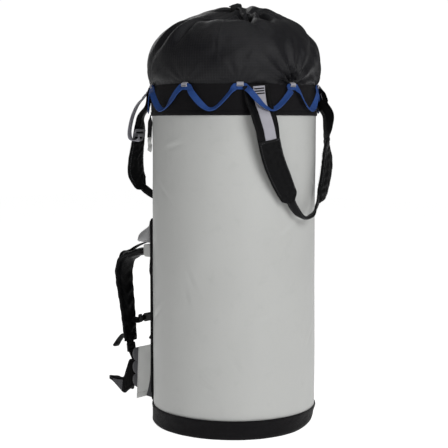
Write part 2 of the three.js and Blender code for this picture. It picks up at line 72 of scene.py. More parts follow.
# ---- camera, lights and floor ----
def add_camera():
    """A level studio camera to the bag's front left, looking slightly down."""
    azimuth, distance, height = math.radians(-51), 2.973, 0.782
    turn, tilt = math.radians(0.5), math.radians(4.975)
    data = bpy.data.cameras.new("camera")
    data.lens, data.sensor_width, data.clip_end = 90.9, 36, 60
    camera = bpy.data.objects.new("camera", data)
    camera.location = (math.sin(azimuth) * distance, -math.cos(azimuth) * distance, height)
    aim = Vector((-math.sin(azimuth), math.cos(azimuth), -math.tan(tilt)))
    aim.rotate(Matrix.Rotation(turn, 3, "Z"))
    camera.rotation_mode = "QUATERNION"
    camera.rotation_quaternion = aim.to_track_quat("-Z", "Y")
    scene.collection.objects.link(camera)
    scene.camera = camera


add_camera()


def add_area_light(name, azimuth, elevation, distance, size, power, target=(0, 0, 0.55)):
    a, e = math.radians(azimuth), math.radians(elevation)
    data = bpy.data.lights.new(name, "AREA")
    data.shape, data.size, data.energy = "DISK", size, power
    light = bpy.data.objects.new(name, data)
    away = Vector((math.sin(a) * math.cos(e), -math.cos(a) * math.cos(e), math.sin(e)))
    light.location = Vector(target) + away * distance
    light.rotation_mode = "QUATERNION"
    light.rotation_quaternion = (-away).to_track_quat("-Z", "Y")
    scene.collection.objects.link(light)


def add_world(seen, lit):
    """A white surround that the camera sees brighter than it lights."""
    world = bpy.data.worlds.new("studio")
    scene.world = world
    world.use_nodes = True
    tree = world.node_tree
    tree.nodes.clear()
    output = tree.nodes.new("ShaderNodeOutputWorld")
    mix = tree.nodes.new("ShaderNodeMixShader")
    ray = tree.nodes.new("ShaderNodeLightPath")
    for socket, strength in ((1, lit), (2, seen)):
        background = tree.nodes.new("ShaderNodeBackground")
        background.inputs["Color"].default_value = (1, 1, 1, 1)
        background.inputs["Strength"].default_value = strength
        tree.links.new(background.outputs[0], mix.inputs[socket])
    tree.links.new(ray.outputs["Is Camera Ray"], mix.inputs[0])
    tree.links.new(mix.outputs[0], output.inputs["Surface"])


# ---- materials ----
class Shader:
    """A material under construction: nodes are made by kind, and inputs are numbers, tuples or sockets."""

    def __init__(self, name):
        self.material = bpy.data.materials.new(name)
        self.material.use_nodes = True
        self.tree = self.material.node_tree
        self.tree.nodes.clear()
        output = self.node("ShaderNodeOutputMaterial")
        self.bsdf = self.node("ShaderNodeBsdfPrincipled")
        self.tree.links.new(self.bsdf.outputs[0], output.inputs["Surface"])

    def node(self, kind, inputs=(), **settings):
        made = self.tree.nodes.new(kind)
        for key, value in settings.items():
            setattr(made, key, value)
        for key, value in dict(inputs).items():
            self.put(made.inputs[key], value)
        return made

    def put(self, socket, value):
        if isinstance(value, bpy.types.NodeSocket):
            self.tree.links.new(value, socket)
        else:
            socket.default_value = value

    def math(self, operation, a, b=0.0):
        return self.node("ShaderNodeMath", {0: a, 1: b}, operation=operation).outputs[0]

    def uv(self):
        """u and v of the surface's own coordinates, in metres."""
        place = self.node("ShaderNodeUVMap", uv_map="UVMap").outputs[0]
        split = self.node("ShaderNodeSeparateXYZ", {0: place})
        return split.outputs[0], split.outputs[1]

    def object_point(self):
        return self.node("ShaderNodeTexCoord").outputs["Object"]

    def noise(self, scale, detail=3, roughness=0.5):
        return self.node("ShaderNodeTexNoise", {"Scale": scale, "Detail": detail, "Roughness": roughness,
                                                "Vector": self.object_point()}).outputs["Fac"]

    def mapped(self, value, low, high, to_low, to_high):
        return self.node("ShaderNodeMapRange", {0: value, 1: low, 2: high, 3: to_low, 4: to_high}).outputs[0]

    def mix(self, share, a, b):
        return self.node("ShaderNodeMix", {0: share, 6: a, 7: b}, data_type="RGBA").outputs[2]

    def scaled(self, value, factor, offset):
        return self.math("ADD", self.math("MULTIPLY", value, factor), offset)

    def bump(self, height, distance, normal=None):
        made = self.node("ShaderNodeBump", {"Height": height, "Distance": distance, "Strength": 1.0})
        if normal is not None:
            self.put(made.inputs["Normal"], normal)
        return made.outputs["Normal"]

    def finish(self, **inputs):
        for key, value in inputs.items():
            self.put(self.bsdf.inputs[key.replace("_", " ")], value)
        return self.material


def rgb(r, g, b):
    return (r, g, b, 1.0)


def grey(level, blue=None):
    """A neutral colour, whose blue may differ a little."""
    return rgb(level, level, level if blue is None else blue)


def shade(colour, factor):
    return rgb(*(c * factor for c in colour[:3]))


def plain_weave(shader, pitch):
    """Over-and-under threads: bumps alternate like a chessboard."""
    u, v = shader.uv()
    across, along = (shader.math("SINE", shader.math("MULTIPLY", c, math.pi / pitch)) for c in (u, v))
    return shader.scaled(shader.math("MULTIPLY", across, along), 0.5, 0.5)


def coated_fabric(name, colour):
    """Satin polymer-coated fabric: faint thread relief, soft mottling, scuffs and a little grime."""
    s = Shader(name)
    mottling = s.noise(3.0, 4)
    scuffs = s.mapped(s.noise(26.0, 6, 0.62), 0.56, 0.74, 0, 1)
    tone = s.mix(s.mapped(mottling, 0.3, 0.7, 0, 1), shade(colour, 0.965), shade(colour, 1.02))
    tone = s.mix(s.math("MULTIPLY", scuffs, 0.16), tone, shade(colour, 0.72))
    grain = s.bump(plain_weave(s, 0.0011), 0.00006)
    leather = s.bump(s.noise(240.0, 2), 0.00014, grain)
    pucker = s.bump(s.noise(11.0, 3, 0.45), 0.0022, leather)
    return s.finish(Base_Color=tone, Roughness=s.mapped(mottling, 0.3, 0.7, 0.40, 0.50), Normal=pucker,
                    Specular_IOR_Level=0.42)


def woven(name, colour, pitch, depth, sheen=0.25, roughness=0.75, ripstop=None, contrast=0.35, wear=0.25,
          specular=0.06):
    """Woven cloth. ripstop is (cell, thread width) of its reinforcing grid."""
    s = Shader(name)
    weave = plain_weave(s, pitch)
    cloud = s.noise(9.0, 4)
    fuzz = s.mapped(s.noise(60.0, 5, 0.6), 0.55, 0.8, 0, 1)
    tone = s.mix(s.math("MULTIPLY", weave, contrast), colour, shade(colour, 1.9))
    tone = s.mix(s.math("MULTIPLY", s.mapped(cloud, 0.35, 0.75, 0, 1), 0.35), tone, shade(colour, 1.5))
    tone = s.mix(s.math("MULTIPLY", fuzz, wear), tone, shade(colour, 2.6))
    height = weave
    if ripstop:
        cell, width = ripstop
        lines = [s.math("LESS_THAN", s.math("PINGPONG", c, cell / 2), width / 2) for c in s.uv()]
        grid = s.math("MAXIMUM", *lines)
        tone = s.mix(s.math("MULTIPLY", grid, 0.55), tone, shade(colour, 2.4))
        height = s.math("ADD", s.math("MULTIPLY", grid, 1.6), weave)
    normal = s.bump(height, depth, s.bump(s.noise(70.0, 3), depth * 2.2))
    return s.finish(Base_Color=tone, Roughness=roughness, Normal=normal, Sheen_Weight=sheen,
                    Sheen_Roughness=0.45, Specular_IOR_Level=specular)


def webbing(name, colour, rib=0.0016, column=0.0022, sheen=0.1, lift=1.7, specular=0.25):
    """Tubular webbing: fine ribs that step by half a pitch from one column of warp to the next."""
    s = Shader(name)
    u, v = s.uv()
    step = s.math("MULTIPLY", s.math("FLOOR", s.math("DIVIDE", u, column)), math.pi)
    rows = s.scaled(s.math("SINE", s.math("ADD", s.math("MULTIPLY", v, 2 * math.pi / rib), step)), 0.5, 0.5)
    groove = s.math("SINE", s.math("MULTIPLY", s.math("PINGPONG", u, column / 2), math.pi / column))
    height = s.math("MULTIPLY", rows, groove)
    cloud = s.mapped(s.noise(30.0, 3), 0.35, 0.7, 0, 1)
    tone = s.mix(s.math("MULTIPLY", height, 0.55), colour, shade(colour, lift))
    tone = s.mix(s.math("MULTIPLY", cloud, 0.25), tone, shade(colour, 0.75))
    normal = s.bump(height, 0.00035)
    return s.finish(Base_Color=tone, Roughness=0.6, Normal=normal, Sheen_Weight=sheen, Sheen_Roughness=0.4,
                    Specular_IOR_Level=specular)


def spacer_mesh(name, colour):
    """Knitted spacer mesh over foam: rows of small round cells."""
    s = Shader(name)
    cells = s.node("ShaderNodeTexVoronoi", {"Vector": s.object_point(), "Scale": 320.0, "Randomness": 0.25})
    depth = s.mapped(cells.outputs["Distance"], 0.0, 0.7, 0, 1)
    tone = s.mix(depth, shade(colour, 0.45), shade(colour, 1.3))
    normal = s.bump(depth, 0.0006, s.bump(s.noise(24.0, 3), 0.002))
    return s.finish(Base_Color=tone, Roughness=0.85, Normal=normal, Sheen_Weight=0.1, Sheen_Roughness=0.5,
                    Specular_IOR_Level=0.2)


def moulded_plastic(name, colour):
    """Acetal hardware: fine texture with smoother, lighter rubbed spots."""
    s = Shader(name)
    rubbed = s.mapped(s.noise(160.0, 4), 0.5, 0.72, 0, 1)
    tone = s.mix(s.math("MULTIPLY", rubbed, 0.5), colour, shade(colour, 2.6))
    normal = s.bump(s.noise(900.0, 2), 0.00008)
    return s.finish(Base_Color=tone, Roughness=s.mapped(rubbed, 0, 1, 0.42, 0.3), Normal=normal)


def braided_cord(name, colour):
    """Round braid: two sets of diagonal strands."""
    s = Shader(name)
    u, v = s.uv()
    round_it = s.math("MULTIPLY", u, 1300.0)
    strands = [s.math("ADD", round_it, s.math("MULTIPLY", v, k)) for k in (1500.0, -1500.0)]
    height = s.math("MAXIMUM", *(s.math("SINE", angle) for angle in strands))
    tone = s.mix(s.mapped(height, -1, 1, 0, 1), shade(colour, 0.6), shade(colour, 1.8))
    return s.finish(Base_Color=tone, Roughness=0.7, Normal=s.bump(height, 0.0003), Sheen_Weight=0.3)


def pale_floor():
    """A pale sweep, lit enough to meet the white surround without a horizon."""
    s = Shader("floor")
    tone = s.mix(s.mapped(s.noise(1.5, 2), 0.3, 0.7, 0, 1), grey(0.46), grey(0.48))
    return s.finish(Base_Color=tone, Roughness=0.9, Emission_Color=grey(1), Emission_Strength=0.96)


MATERIALS = {
    "shell": coated_fabric("coated_shell", rgb(0.445, 0.450, 0.438)),
    "ballistic": woven("ballistic", rgb(0.0052, 0.0048, 0.0055), 0.0012, 0.0004, sheen=0.03, roughness=0.6),
    "ripstop": woven("ripstop", rgb(0.0042, 0.0041, 0.0052), 0.0007, 0.00015, sheen=0.04, roughness=0.42,
                     ripstop=(0.0068, 0.0007), contrast=0.15, wear=0.10, specular=0.20),
    "blue": webbing("blue_webbing", rgb(0.009, 0.042, 0.175), sheen=0.05),
    "grey": webbing("grey_webbing", rgb(0.31, 0.305, 0.34), lift=1.25),
    "black_tape": webbing("black_webbing", grey(0.0040, 0.0045), lift=2.4, sheen=0.02, specular=0.12),
    "sleeve": woven("sleeve_cloth", grey(0.0026, 0.0029), 0.0009, 0.0002, sheen=0.02, roughness=0.42),
    "panel": woven("panel_cloth", grey(0.0030, 0.0033), 0.0011, 0.0003, sheen=0.02),
    "dark_grey": woven("dark_grey_cloth", grey(0.060, 0.064), 0.001, 0.0003, sheen=0.08, wear=0.1),
    "hood": woven("hood_cloth", grey(0.33, 0.335), 0.001, 0.0003, sheen=0.08, wear=0.1),
    "mesh": spacer_mesh("spacer_mesh", grey(0.060, 0.066)),
    "thread_black": webbing("thread_black", grey(0.006, 0.0065), sheen=0.02, specular=0.12),
    "thread_grey": webbing("thread_grey", grey(0.12, 0.125)),
    "plastic": moulded_plastic("acetal", grey(0.006, 0.0065)),
    # The rear haul lock is dark plastic: this grey colour is painted highlight, standing in for the light on its
    # glossy edges.
    "lock_painted_highlight_plastic": moulded_plastic("acetal_painted_highlight_grey", grey(0.15, 0.16)),
    "cord": braided_cord("cord", grey(0.010, 0.011)),
}


# ---- shapes ----
def lerp(a, b, t):
    return a + (b - a) * t


def smooth(t):
    t = min(max(t, 0.0), 1.0)
    return t * t * (3 - 2 * t)


def hump(distance, width):
    """1 at no distance, falling to 0 as a bell."""
    return math.exp(-((distance / width) ** 2))


def around(angle, radius, z):
    """A point at an angle in degrees round the bag, from the front (-Y) towards +X."""
    a = math.radians(angle)
    return Vector((radius * math.sin(a), -radius * math.cos(a), z))


def outward(angle):
    return around(angle, 1, 0)


def tangent(angle):
    a = math.radians(angle)
    return Vector((math.cos(a), math.sin(a), 0))


def turn_between(a, b):
    """The angle from a to b in degrees, -180 to 180."""
    return (b - a + 180) % 360 - 180


def arc_between(a, b, radius):
    """The distance round the bag from angle a to angle b, at a radius."""
    return math.radians(turn_between(a, b)) * radius


def slanted(x, y, slant):
    """The place (x, y) measured along and across a line that lies at a slant, in degrees."""
    c, q = math.cos(math.radians(slant)), math.sin(math.radians(slant))
    return x * c + y * q, y * c - x * q


def wobble(x, y, z=0.0):
    return noise.noise(Vector((x, y, z + SEED)))


def travelled(line):
    """The distance along a line at each of its points."""
    return np.concatenate([[0], np.cumsum(np.linalg.norm(np.diff(line, axis=0), axis=1))])


def unit(rows):
    return rows / np.linalg.norm(rows, axis=1)[:, None]


def heading(line):
    """The direction of a line at each of its points."""
    return unit(np.gradient(line, axis=0))


def evened(points, count):
    """count points evenly spaced along a smooth curve through the given ones, as an array."""
    p = [Vector(q) for q in points]
    p = [2 * p[0] - p[1]] + p + [2 * p[-1] - p[-2]]
    fine = []
    for i in range(1, len(p) - 2):
        for k in range(16):
            t = k / 16
            fine.append(0.5 * (2 * p[i] + (p[i + 1] - p[i - 1]) * t
                               + (2 * p[i - 1] - 5 * p[i] + 4 * p[i + 1] - p[i + 2]) * t * t
                               + (3 * p[i] - p[i - 1] - 3 * p[i + 1] + p[i + 2]) * t ** 3))
    fine = np.array([*fine, p[-2]], float)
    along = travelled(fine)
    at = np.linspace(0, along[-1], count)
    return np.stack([np.interp(at, along, fine[:, k]) for k in range(3)], axis=1), at


def round_uv(columns, levels):
    """Surface coordinates of a wall that goes once round the bag, for rows at these levels."""
    places = [RADIUS * math.radians(360 * k / columns) for k in range(columns + 1)]
    return [[(place, level) for place in places] for level in levels]


def shell(name, front, back, uv, wrap_rows=False, wrap_columns=False):
    """A closed mesh between two grids of points [row][column]. uv has one more of each that wraps."""
    front, back, uv = (np.array(g, float) for g in (front, back, uv))
    rows, columns = front.shape[:2]
    base = rows * columns
    index = np.arange(base).reshape(rows, columns)
    i_end, j_end = rows - (not wrap_rows), columns - (not wrap_columns)
    faces, corners = [], []

    def add(quad, marks):
        faces.append(quad)
        corners.extend(marks)

    for i in range(i_end):
        for j in range(j_end):
            i2, j2 = (i + 1) % rows, (j + 1) % columns
            quad = [index[i, j], index[i, j2], index[i2, j2], index[i2, j]]
            marks = [uv[i, j], uv[i, j + 1], uv[i + 1, j + 1], uv[i + 1, j]]
            add(quad, marks)
            add([q + base for q in reversed(quad)], marks[::-1])
    if not wrap_columns:
        for i in range(i_end):
            i2 = (i + 1) % rows
            for j in (0, columns - 1):
                quad = [index[i, j], index[i2, j], index[i2, j] + base, index[i, j] + base]
                marks = [uv[i, j], uv[i + 1, j], uv[i + 1, j], uv[i, j]]
                add(quad if j == 0 else quad[::-1], marks if j == 0 else marks[::-1])
    if not wrap_rows:
        for j in range(j_end):
            j2 = (j + 1) % columns
            for i in (0, rows - 1):
                quad = [index[i, j2], index[i, j], index[i, j] + base, index[i, j2] + base]
                marks = [uv[i, j + 1], uv[i, j], uv[i, j], uv[i, j + 1]]
                add(quad if i == 0 else quad[::-1], marks if i == 0 else marks[::-1])
    return mesh_object(name, np.concatenate([front.reshape(-1, 3), back.reshape(-1, 3)]), faces, corners)


def mesh_object(name, points, faces, corners, crease=40):
    """A smooth mesh, sharp past the crease angle, with a (u, v) for each corner of each face."""
    mesh = bpy.data.meshes.new(name)
    mesh.from_pydata([tuple(p) for p in points], [], [tuple(int(i) for i in f) for f in faces])
    layer = mesh.uv_layers.new(name="UVMap")
    layer.data.foreach_set("uv", np.array(corners, np.float32).ravel())
    mesh.shade_smooth()
    mesh.set_sharp_from_angle(angle=math.radians(crease))
    made = bpy.data.objects.new(name, mesh)
    scene.collection.objects.link(made)
    return made


def outfit(piece, look, slot, body, *replaced):
    """Gives a piece its material and body; slot is not used. body is a name, or (body, body, start, end), for
    which the piece is not blended and only has its transform baked in.
    """
    piece.data.materials.append(MATERIALS[look])
    if isinstance(body, str):
        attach(piece, body)
    else:
        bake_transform(piece)
    if replaced:
        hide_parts(*replaced)
    return piece


class Ribbon:
    """A strap along a curve: its frame at each row, and points on its faces.

    across is the width's direction, width and thickness are sizes, and lift moves both faces along the
    normal. Each may be a value or a function of v, the share of the length; lift takes (v, s), where s is
    the place across from -1 to 1. power shapes the edge: 2 is an ellipse, 8 a flat strap.
    """

    def __init__(self, points, width, thickness, across, rows=40, columns=10, power=8, lift=None, full=None):
        self.centre, self.length = evened(points, rows)
        self.v = self.length / self.length[-1]
        flow = heading(self.centre)
        side, self.width, self.thickness = (
            np.array([size(v) if callable(size) else size for v in self.v], float)
            for size in (across, width, thickness))
        self.normal = unit(np.cross(flow, side))
        self.side = np.cross(self.normal, flow)
        self.s = np.sin(np.linspace(-1, 1, columns) * math.pi / 2)
        self.power, self.lift, self.full = power, lift, full

    def at(self, row, s, face, proud=0.0):
        """The point across a row on the face (1 or -1), stood proud of it."""
        crown = max(1 - abs(s) ** self.power, 0.0) ** 0.5
        if self.full:
            crown *= self.full(self.v[row], s)
        height = face * (self.thickness[row] / 2 * max(crown, 0.16) + proud)
        if self.lift:
            height += self.lift(self.v[row], s)
        return self.centre[row] + self.side[row] * s * self.width[row] / 2 + self.normal[row] * height

    def mesh(self, name):
        faces = [[[self.at(i, s, face) for s in self.s] for i in range(len(self.v))] for face in (1, -1)]
        uv = [[(s * w / 2, length) for s in self.s] for w, length in zip(self.width, self.length)]
        return shell(name, *faces, uv)

    def run(self, s, face=1, start=0.0, end=1.0, proud=0.0002):
        """A line of (point, normal) along the strap at one place across it."""
        rows = [i for i, v in enumerate(self.v) if start <= v <= end]
        return [(self.at(i, s, face, proud), self.normal[i] * face) for i in rows]

    def cross_run(self, v, reach=0.8, face=1, count=8, proud=0.0002):
        """A line of (point, normal) across the strap."""
        row = int(round(v * (len(self.v) - 1)))
        places = np.linspace(-reach, reach, count)
        return [(self.at(row, s, face, proud), self.normal[row] * face) for s in places]


def strap(name, body, points, width, thickness, across, *replaced, look="black_tape", slot="black_webbing",
          **shape):
    """A ribbon made and dressed in one go, as black webbing unless it says otherwise."""
    made = Ribbon(points, width, thickness, across, **shape)
    outfit(made.mesh(name), look, slot, body, *replaced)
    return made


def sewn_rim(rows, columns):
    """Vertex numbers along the ends and the edges of both faces of a closed grid."""
    return [(k * rows + r) * columns + c for k in (0, 1) for r in range(rows) for c in range(columns)
            if r in (0, rows - 1) or c in (0, columns - 1)]


def stitches(name, runs, look, slot, body, pitch=0.0048, length=0.0034, radius=0.00048):
    """Sewing thread: one small spindle for each stitch along each run of (point, normal)."""
    points, faces, corners = [], [], []
    for run in runs:
        line = np.array([p for p, _ in run], float)
        normals = np.array([n for _, n in run], float)
        along = travelled(line)
        pick = lambda rows, d: np.array([np.interp(d, along, rows[:, i]) for i in range(3)])
        for k in range(int(along[-1] / pitch)):
            middle = (k + 0.5) * pitch
            a, b, c = (pick(line, d) for d in (middle - length / 2, middle, middle + length / 2))
            n = pick(normals, middle)
            flow = (c - a) / max(np.linalg.norm(c - a), 1e-9)
            w = np.cross(flow, n)
            base = len(points)
            ring = [b + radius * (n * x + w * y) for x, y in ((1, 0), (0, 1), (-1, 0), (0, -1))]
            points += [a - n * radius * 0.4, *ring, c - n * radius * 0.4]
            for j in range(4):
                j2 = (j + 1) % 4
                faces += [(base, base + 1 + j2, base + 1 + j), (base + 5, base + 1 + j, base + 1 + j2)]
                corners += [(0, 0), (radius, middle), (0, middle), (0, 0), (0, middle), (radius, middle)]
    return outfit(mesh_object(name, points, faces, corners), look, slot, body)


def bar_tack(name, centre, along, normal, width, look, body, depth=0.0035):
    """A dense zigzag of thread across a strap: a small block with a ridge for each pass."""
    across = Vector(normal).cross(Vector(along)).normalized()
    rows = 2 * int(width / 0.0011)
    line = [Vector(centre) + across * width * k for k in (-0.5, -0.25, 0, 0.25, 0.5)]
    strap(name, body, line, depth, 0.0012, Vector(along), look=look, rows=rows, columns=5, power=6,
          lift=lambda v, s: 0.00028 * math.sin(v * rows * math.pi / 2))


def puff(piece, pressure, cap, pinned, frames=12, shrink=0.0, stiffness=12):
    """Fills a closed padded mesh by simulating its cloth under pressure, with some points pinned in place."""
    mesh = piece.data
    rest = np.zeros(len(mesh.vertices) * 3, np.float32)
    mesh.vertices.foreach_get("co", rest)
    rest = rest.reshape(-1, 3)
    group = piece.vertex_groups.new(name="pinned")
    group.add([int(i) for i in pinned], 1.0, "REPLACE")
    cloth = piece.modifiers.new("cloth", "CLOTH")
    settings = cloth.settings
    settings.use_pressure, settings.uniform_pressure_force = True, pressure
    settings.effector_weights.gravity = 0
    settings.vertex_group_mass = "pinned"
    settings.shrink_min = shrink
    settings.tension_stiffness = settings.compression_stiffness = stiffness
    settings.quality = 5
    cloth.collision_settings.use_collision = False
    for frame_number in range(1, frames + 1):
        scene.frame_set(frame_number)
    solved = piece.evaluated_get(bpy.context.evaluated_depsgraph_get()).data
    moved = np.zeros_like(rest.ravel())
    solved.vertices.foreach_get("co", moved)
    move = moved.reshape(-1, 3) - rest
    size = np.linalg.norm(move, axis=1, keepdims=True)
    soft = cap * np.tanh(size / cap)
    result = rest + move / np.maximum(size, 1e-9) * soft
    piece.modifiers.remove(cloth)
    piece.vertex_groups.clear()
    scene.frame_set(1)
    mesh.vertices.foreach_set("co", result.ravel().astype(np.float32))
    mesh.update()


# ---- the tube ----
# Where the gear-loop tabs sit, in degrees round the bag.
TAB_ANGLES = [-124, -84.3, -47.1, -9.9, 25.7, 62, 98, 133.5, 170, 203]


def tube_skin(name, levels, radius_at, thickness, columns=216):
    """A round wall: radius_at(angle, z) is its outer radius, and the levels are its rows' heights."""
    angles = np.linspace(0, 360, columns, endpoint=False)
    front = [[around(a, radius_at(a, z), z) for a in angles] for z in levels]
    back = [[around(a, radius_at(a, z) - thickness, z) for a in angles] for z in levels]
    return shell(name, front, back, round_uv(columns, levels), wrap_columns=True)


# Creases in the coated fabric: angle, height, slant in degrees, length, depth in mm.
CREASES = [(-72, 0.150, -38, 0.085, 1.3), (-66, 0.112, -30, 0.055, 1.0), (-49, 0.185, -52, 0.060, 0.9),
           (-80, 0.395, -62, 0.070, 1.2), (-84, 0.355, -70, 0.050, 0.9), (-30, 0.300, 20, 0.075, 0.5),
           (-12, 0.520, 30, 0.090, 0.6), (15, 0.240, 48, 0.080, 0.8), (22, 0.630, -25, 0.085, 0.7),
           (60, 0.170, 40, 0.080, 1.1), (84, 0.420, -35, 0.095, 1.0), (108, 0.260, 60, 0.070, 1.0),
           (120, 0.640, 30, 0.090, 0.9), (-105, 0.610, -40, 0.080, 0.9), (-118, 0.300, 35, 0.085, 1.1),
           (-96, 0.730, 15, 0.070, 0.8), (-58, 0.700, -18, 0.080, 0.5), (160, 0.700, 25, 0.080, 1.0)]


def body_radius(angle, z):
    p = around(angle, 1, 0)
    broad = 0.0019 * wobble(p.x * 1.1, p.y * 1.1, z * 3.1) + 0.0008 * wobble(p.x * 2.6, p.y * 2.6, z * 8 + 9)
    edge = min(z - BAND_TOP, COLLAR_LOW - z)
    pucker = 0.0010 * wobble(angle * 0.42, z * 14, 5) * math.exp(-max(edge, 0) / 0.016)
    crease = 0.0
    for a, height, slant, length, depth in CREASES:
        x, y = arc_between(a, angle, RADIUS), z - height
        if abs(x) < 0.09 and abs(y) < 0.09:
            along, off = slanted(x, y, slant)
            off += 0.02 * along ** 2 / length
            fade = hump(along, length / 2.2)
            crease += 1.9 * depth * MM * fade * (0.6 * hump(off - 0.010, 0.009) - hump(off, 0.0052))
    return RADIUS - 0.0012 + broad + pucker + crease


def seam_run(radius, z):
    """A line of (point, normal) once round the bag."""
    return [(around(a, radius, z), outward(a)) for a in np.linspace(0, 360, 260)]


def add_tube():
    # Rows lie closer together near the two bands, where the fabric puckers.
    under, near = 0.005, 0.05
    levels = np.concatenate([np.linspace(BAND_TOP - under, BAND_TOP + near, 22)[:-1],
                             np.linspace(BAND_TOP + near, COLLAR_LOW - near, 118)[:-1],
                             np.linspace(COLLAR_LOW - near, COLLAR_LOW + under, 22)])
    body = tube_skin("body_fabric", levels, body_radius, 0.0016)
    outfit(body, "shell", "shell_fabric", "root", "body_shell")

    def collar_radius(angle, z):
        hem = 0.0012 * hump(z - COLLAR_LOW - 0.003, 0.0045) - 0.0005 * hump(z - COLLAR_LOW - 0.0105, 0.0016)
        loose = 0.0013 * wobble(angle * 0.11, z * 16, 2) * smooth((z - COLLAR_LOW) / 0.02)
        tug = sum(0.0014 * hump(turn_between(a, angle), 2.6) for a in TAB_ANGLES) * smooth((z - 0.855) / 0.02)
        return RADIUS + 0.0011 + hem + loose + tug

    levels = np.linspace(COLLAR_LOW - 0.0022, RIM + 0.0012, 44)
    outfit(tube_skin("collar_fabric", levels, collar_radius, 0.0022), "ballistic", "ballistic_fabric", "root",
           "collar_band")
    rim_low, rim_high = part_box("rim_webbing")
    inside = (rim_high.x - rim_low.x) / 2
    outfit(tube_skin("rim_hoop_webbing", np.linspace(rim_low.z, rim_high.z, 8),
                     lambda a, z: inside - 0.0002, 0.0035, 120), "black_tape", "black_webbing", "root",
           "rim_webbing")
    stitches("tube_seam_stitching",
             [seam_run(RADIUS + 0.0026, COLLAR_LOW + 0.0075), seam_run(RADIUS + 0.0022, COLLAR_LOW + 0.0135),
              seam_run(RADIUS + 0.0024, RIM - 0.0065)], "thread_black", "ballistic_fabric", "root")


# Where the base band's upright seam is, in degrees round the bag.
BAND_SEAM = -44


def base_corner(angle):
    """How soft the base's bottom corner is: radius, and how far the skirt is tucked up, at an angle."""
    lifted = hump(turn_between(39, angle), 42)
    return 0.007 + 0.021 * lifted, 0.004 * lifted


def add_base():
    """The base band, turned under a piped corner to meet the base disc."""
    columns, rows = 216, 26
    angles = np.linspace(0, 360, columns, endpoint=False)
    front, back = [], []
    for i in range(rows):
        outer, inner = [], []
        for a in angles:
            corner, tuck = base_corner(a)
            wall = BAND_TOP + 0.0016 - corner
            travel = i / (rows - 1) * (wall + corner * math.pi / 2)
            slack = 0.0011 * wobble(a * 0.10, i * 0.12, 7)
            seam = (0.0018 * hump(turn_between(BAND_SEAM, a) * 3.75, 3.0)
                    - 0.0024 * hump(turn_between(BAND_SEAM + 1.4, a) * 3.75, 2.0))
            if travel < wall:
                hem = 0.0010 * hump(travel - 0.004, 0.005)
                r, n = RADIUS + 0.0014 + hem - tuck * smooth(travel / wall), 0.0
                z = BAND_TOP + 0.0016 - travel
            else:
                n = (travel - wall) / corner
                r = RADIUS + 0.0014 - tuck - corner * (1 - math.cos(n))
                z = corner * (1 - math.sin(n))
            r += slack + seam
            outer.append(around(a, r, max(z, 0.0003)))
            inner.append(around(a, r - 0.0018 * math.cos(n), max(z, 0.0003) + 0.0018 * math.sin(n)))
        front.append(outer)
        back.append(inner)
    uv = round_uv(columns, [-i * 0.0022 for i in range(rows)])
    band = shell("base_band_fabric", front, back, uv, wrap_columns=True)
    outfit(band, "ballistic", "ballistic_fabric", "root", "base_band")
    inside = []
    for angle in angles:
        corner, tuck = base_corner(angle)
        inside.append((RADIUS - tuck - corner - 0.002, angle))
    rings = [0.15, 0.35, 0.6, 0.8, 0.93, 0.985, 1.0]
    disc = [[around(a, r * t, 0.0011 + 0.0016 * wobble(t * 4, math.radians(a), 3) ** 2 + 0.0005 * (t > 0.98))
             for r, a in inside] for t in rings]
    uv = [[tuple(around(360 * k / columns, RADIUS * t, 0).xy) for k in range(columns + 1)] for t in rings]
    centre_cap("base_disc_fabric", disc, uv)
    upright = [(around(BAND_SEAM + 1.1, RADIUS + 0.0036, z), outward(BAND_SEAM))
               for z in np.linspace(BAND_TOP - 0.008, 0.012, 12)]
    stitches("base_band_stitching", [seam_run(RADIUS + 0.0031, BAND_TOP - 0.0052), upright], "thread_black",
             "ballistic_fabric", "root")


def centre_cap(name, disc, uv):
    """A closed disc: the rings between two skins, with a fan at the middle of each."""
    rows, columns = len(disc), len(disc[0])
    up = Vector((0, 0, 0.0035))
    lining = [[p + up for p in ring] for ring in disc]
    points = [p for ring in disc for p in ring] + [p for ring in lining for p in ring]
    base = rows * columns
    faces, corners = [], []
    for i in range(rows - 1):
        for j in range(columns):
            j2 = (j + 1) % columns
            quad = [i * columns + j, (i + 1) * columns + j, (i + 1) * columns + j2, i * columns + j2]
            marks = [uv[i][j], uv[i + 1][j], uv[i + 1][j + 1], uv[i][j + 1]]
            faces += [quad[::-1], [q + base for q in quad]]
            corners += marks[::-1] + marks
    middle = sum(disc[0], Vector()) / columns
    points += [middle, middle + up]
    for j in range(columns):
        j2 = (j + 1) % columns
        faces += [[2 * base, j2, j], [2 * base + 1, base + j, base + j2]]
        corners += [(0, 0), uv[0][j + 1], uv[0][j], (0, 0), uv[0][j], uv[0][j + 1]]
        edge = (rows - 1) * columns
        faces.append([edge + j, edge + j2, base + edge + j2, base + edge + j])
        corners += [uv[-1][j], uv[-1][j + 1], uv[-1][j + 1], uv[-1][j]]
    outfit(mesh_object(name, points, faces, corners), "ballistic", "ballistic_fabric", "root", "base_disc")


# ---- storm collar ----
# Outer radius and height of the dome's rings, from the rim up and in to the gathered hem.
STORM_RINGS = [(0.2125, 0.8815), (0.2165, 0.8885), (0.2215, 0.902), (0.2240, 0.925), (0.2222, 0.955),
               (0.2172, 0.976), (0.2080, 0.996), (0.1945, 1.012), (0.178, 1.028), (0.156, 1.044),
               (0.130, 1.0565), (0.100, 1.0640), (0.070, 1.0665), (0.045, 1.0645), (0.028, 1.0605),
               (0.0165, 1.0575)]
# The gathered hem sits off the middle by this much, and leans this way by this many degrees.
GATHER_X, GATHER_Y, GATHER_LEAN, GATHER_TILT = -0.020, -0.055, -51, 20
# The lean starts and is complete at these radii.
TILT_FROM, TILT_TO = 0.178, 0.070
LEAN_AXIS = Vector((0, 0, 1)).cross(outward(GATHER_LEAN)).normalized()
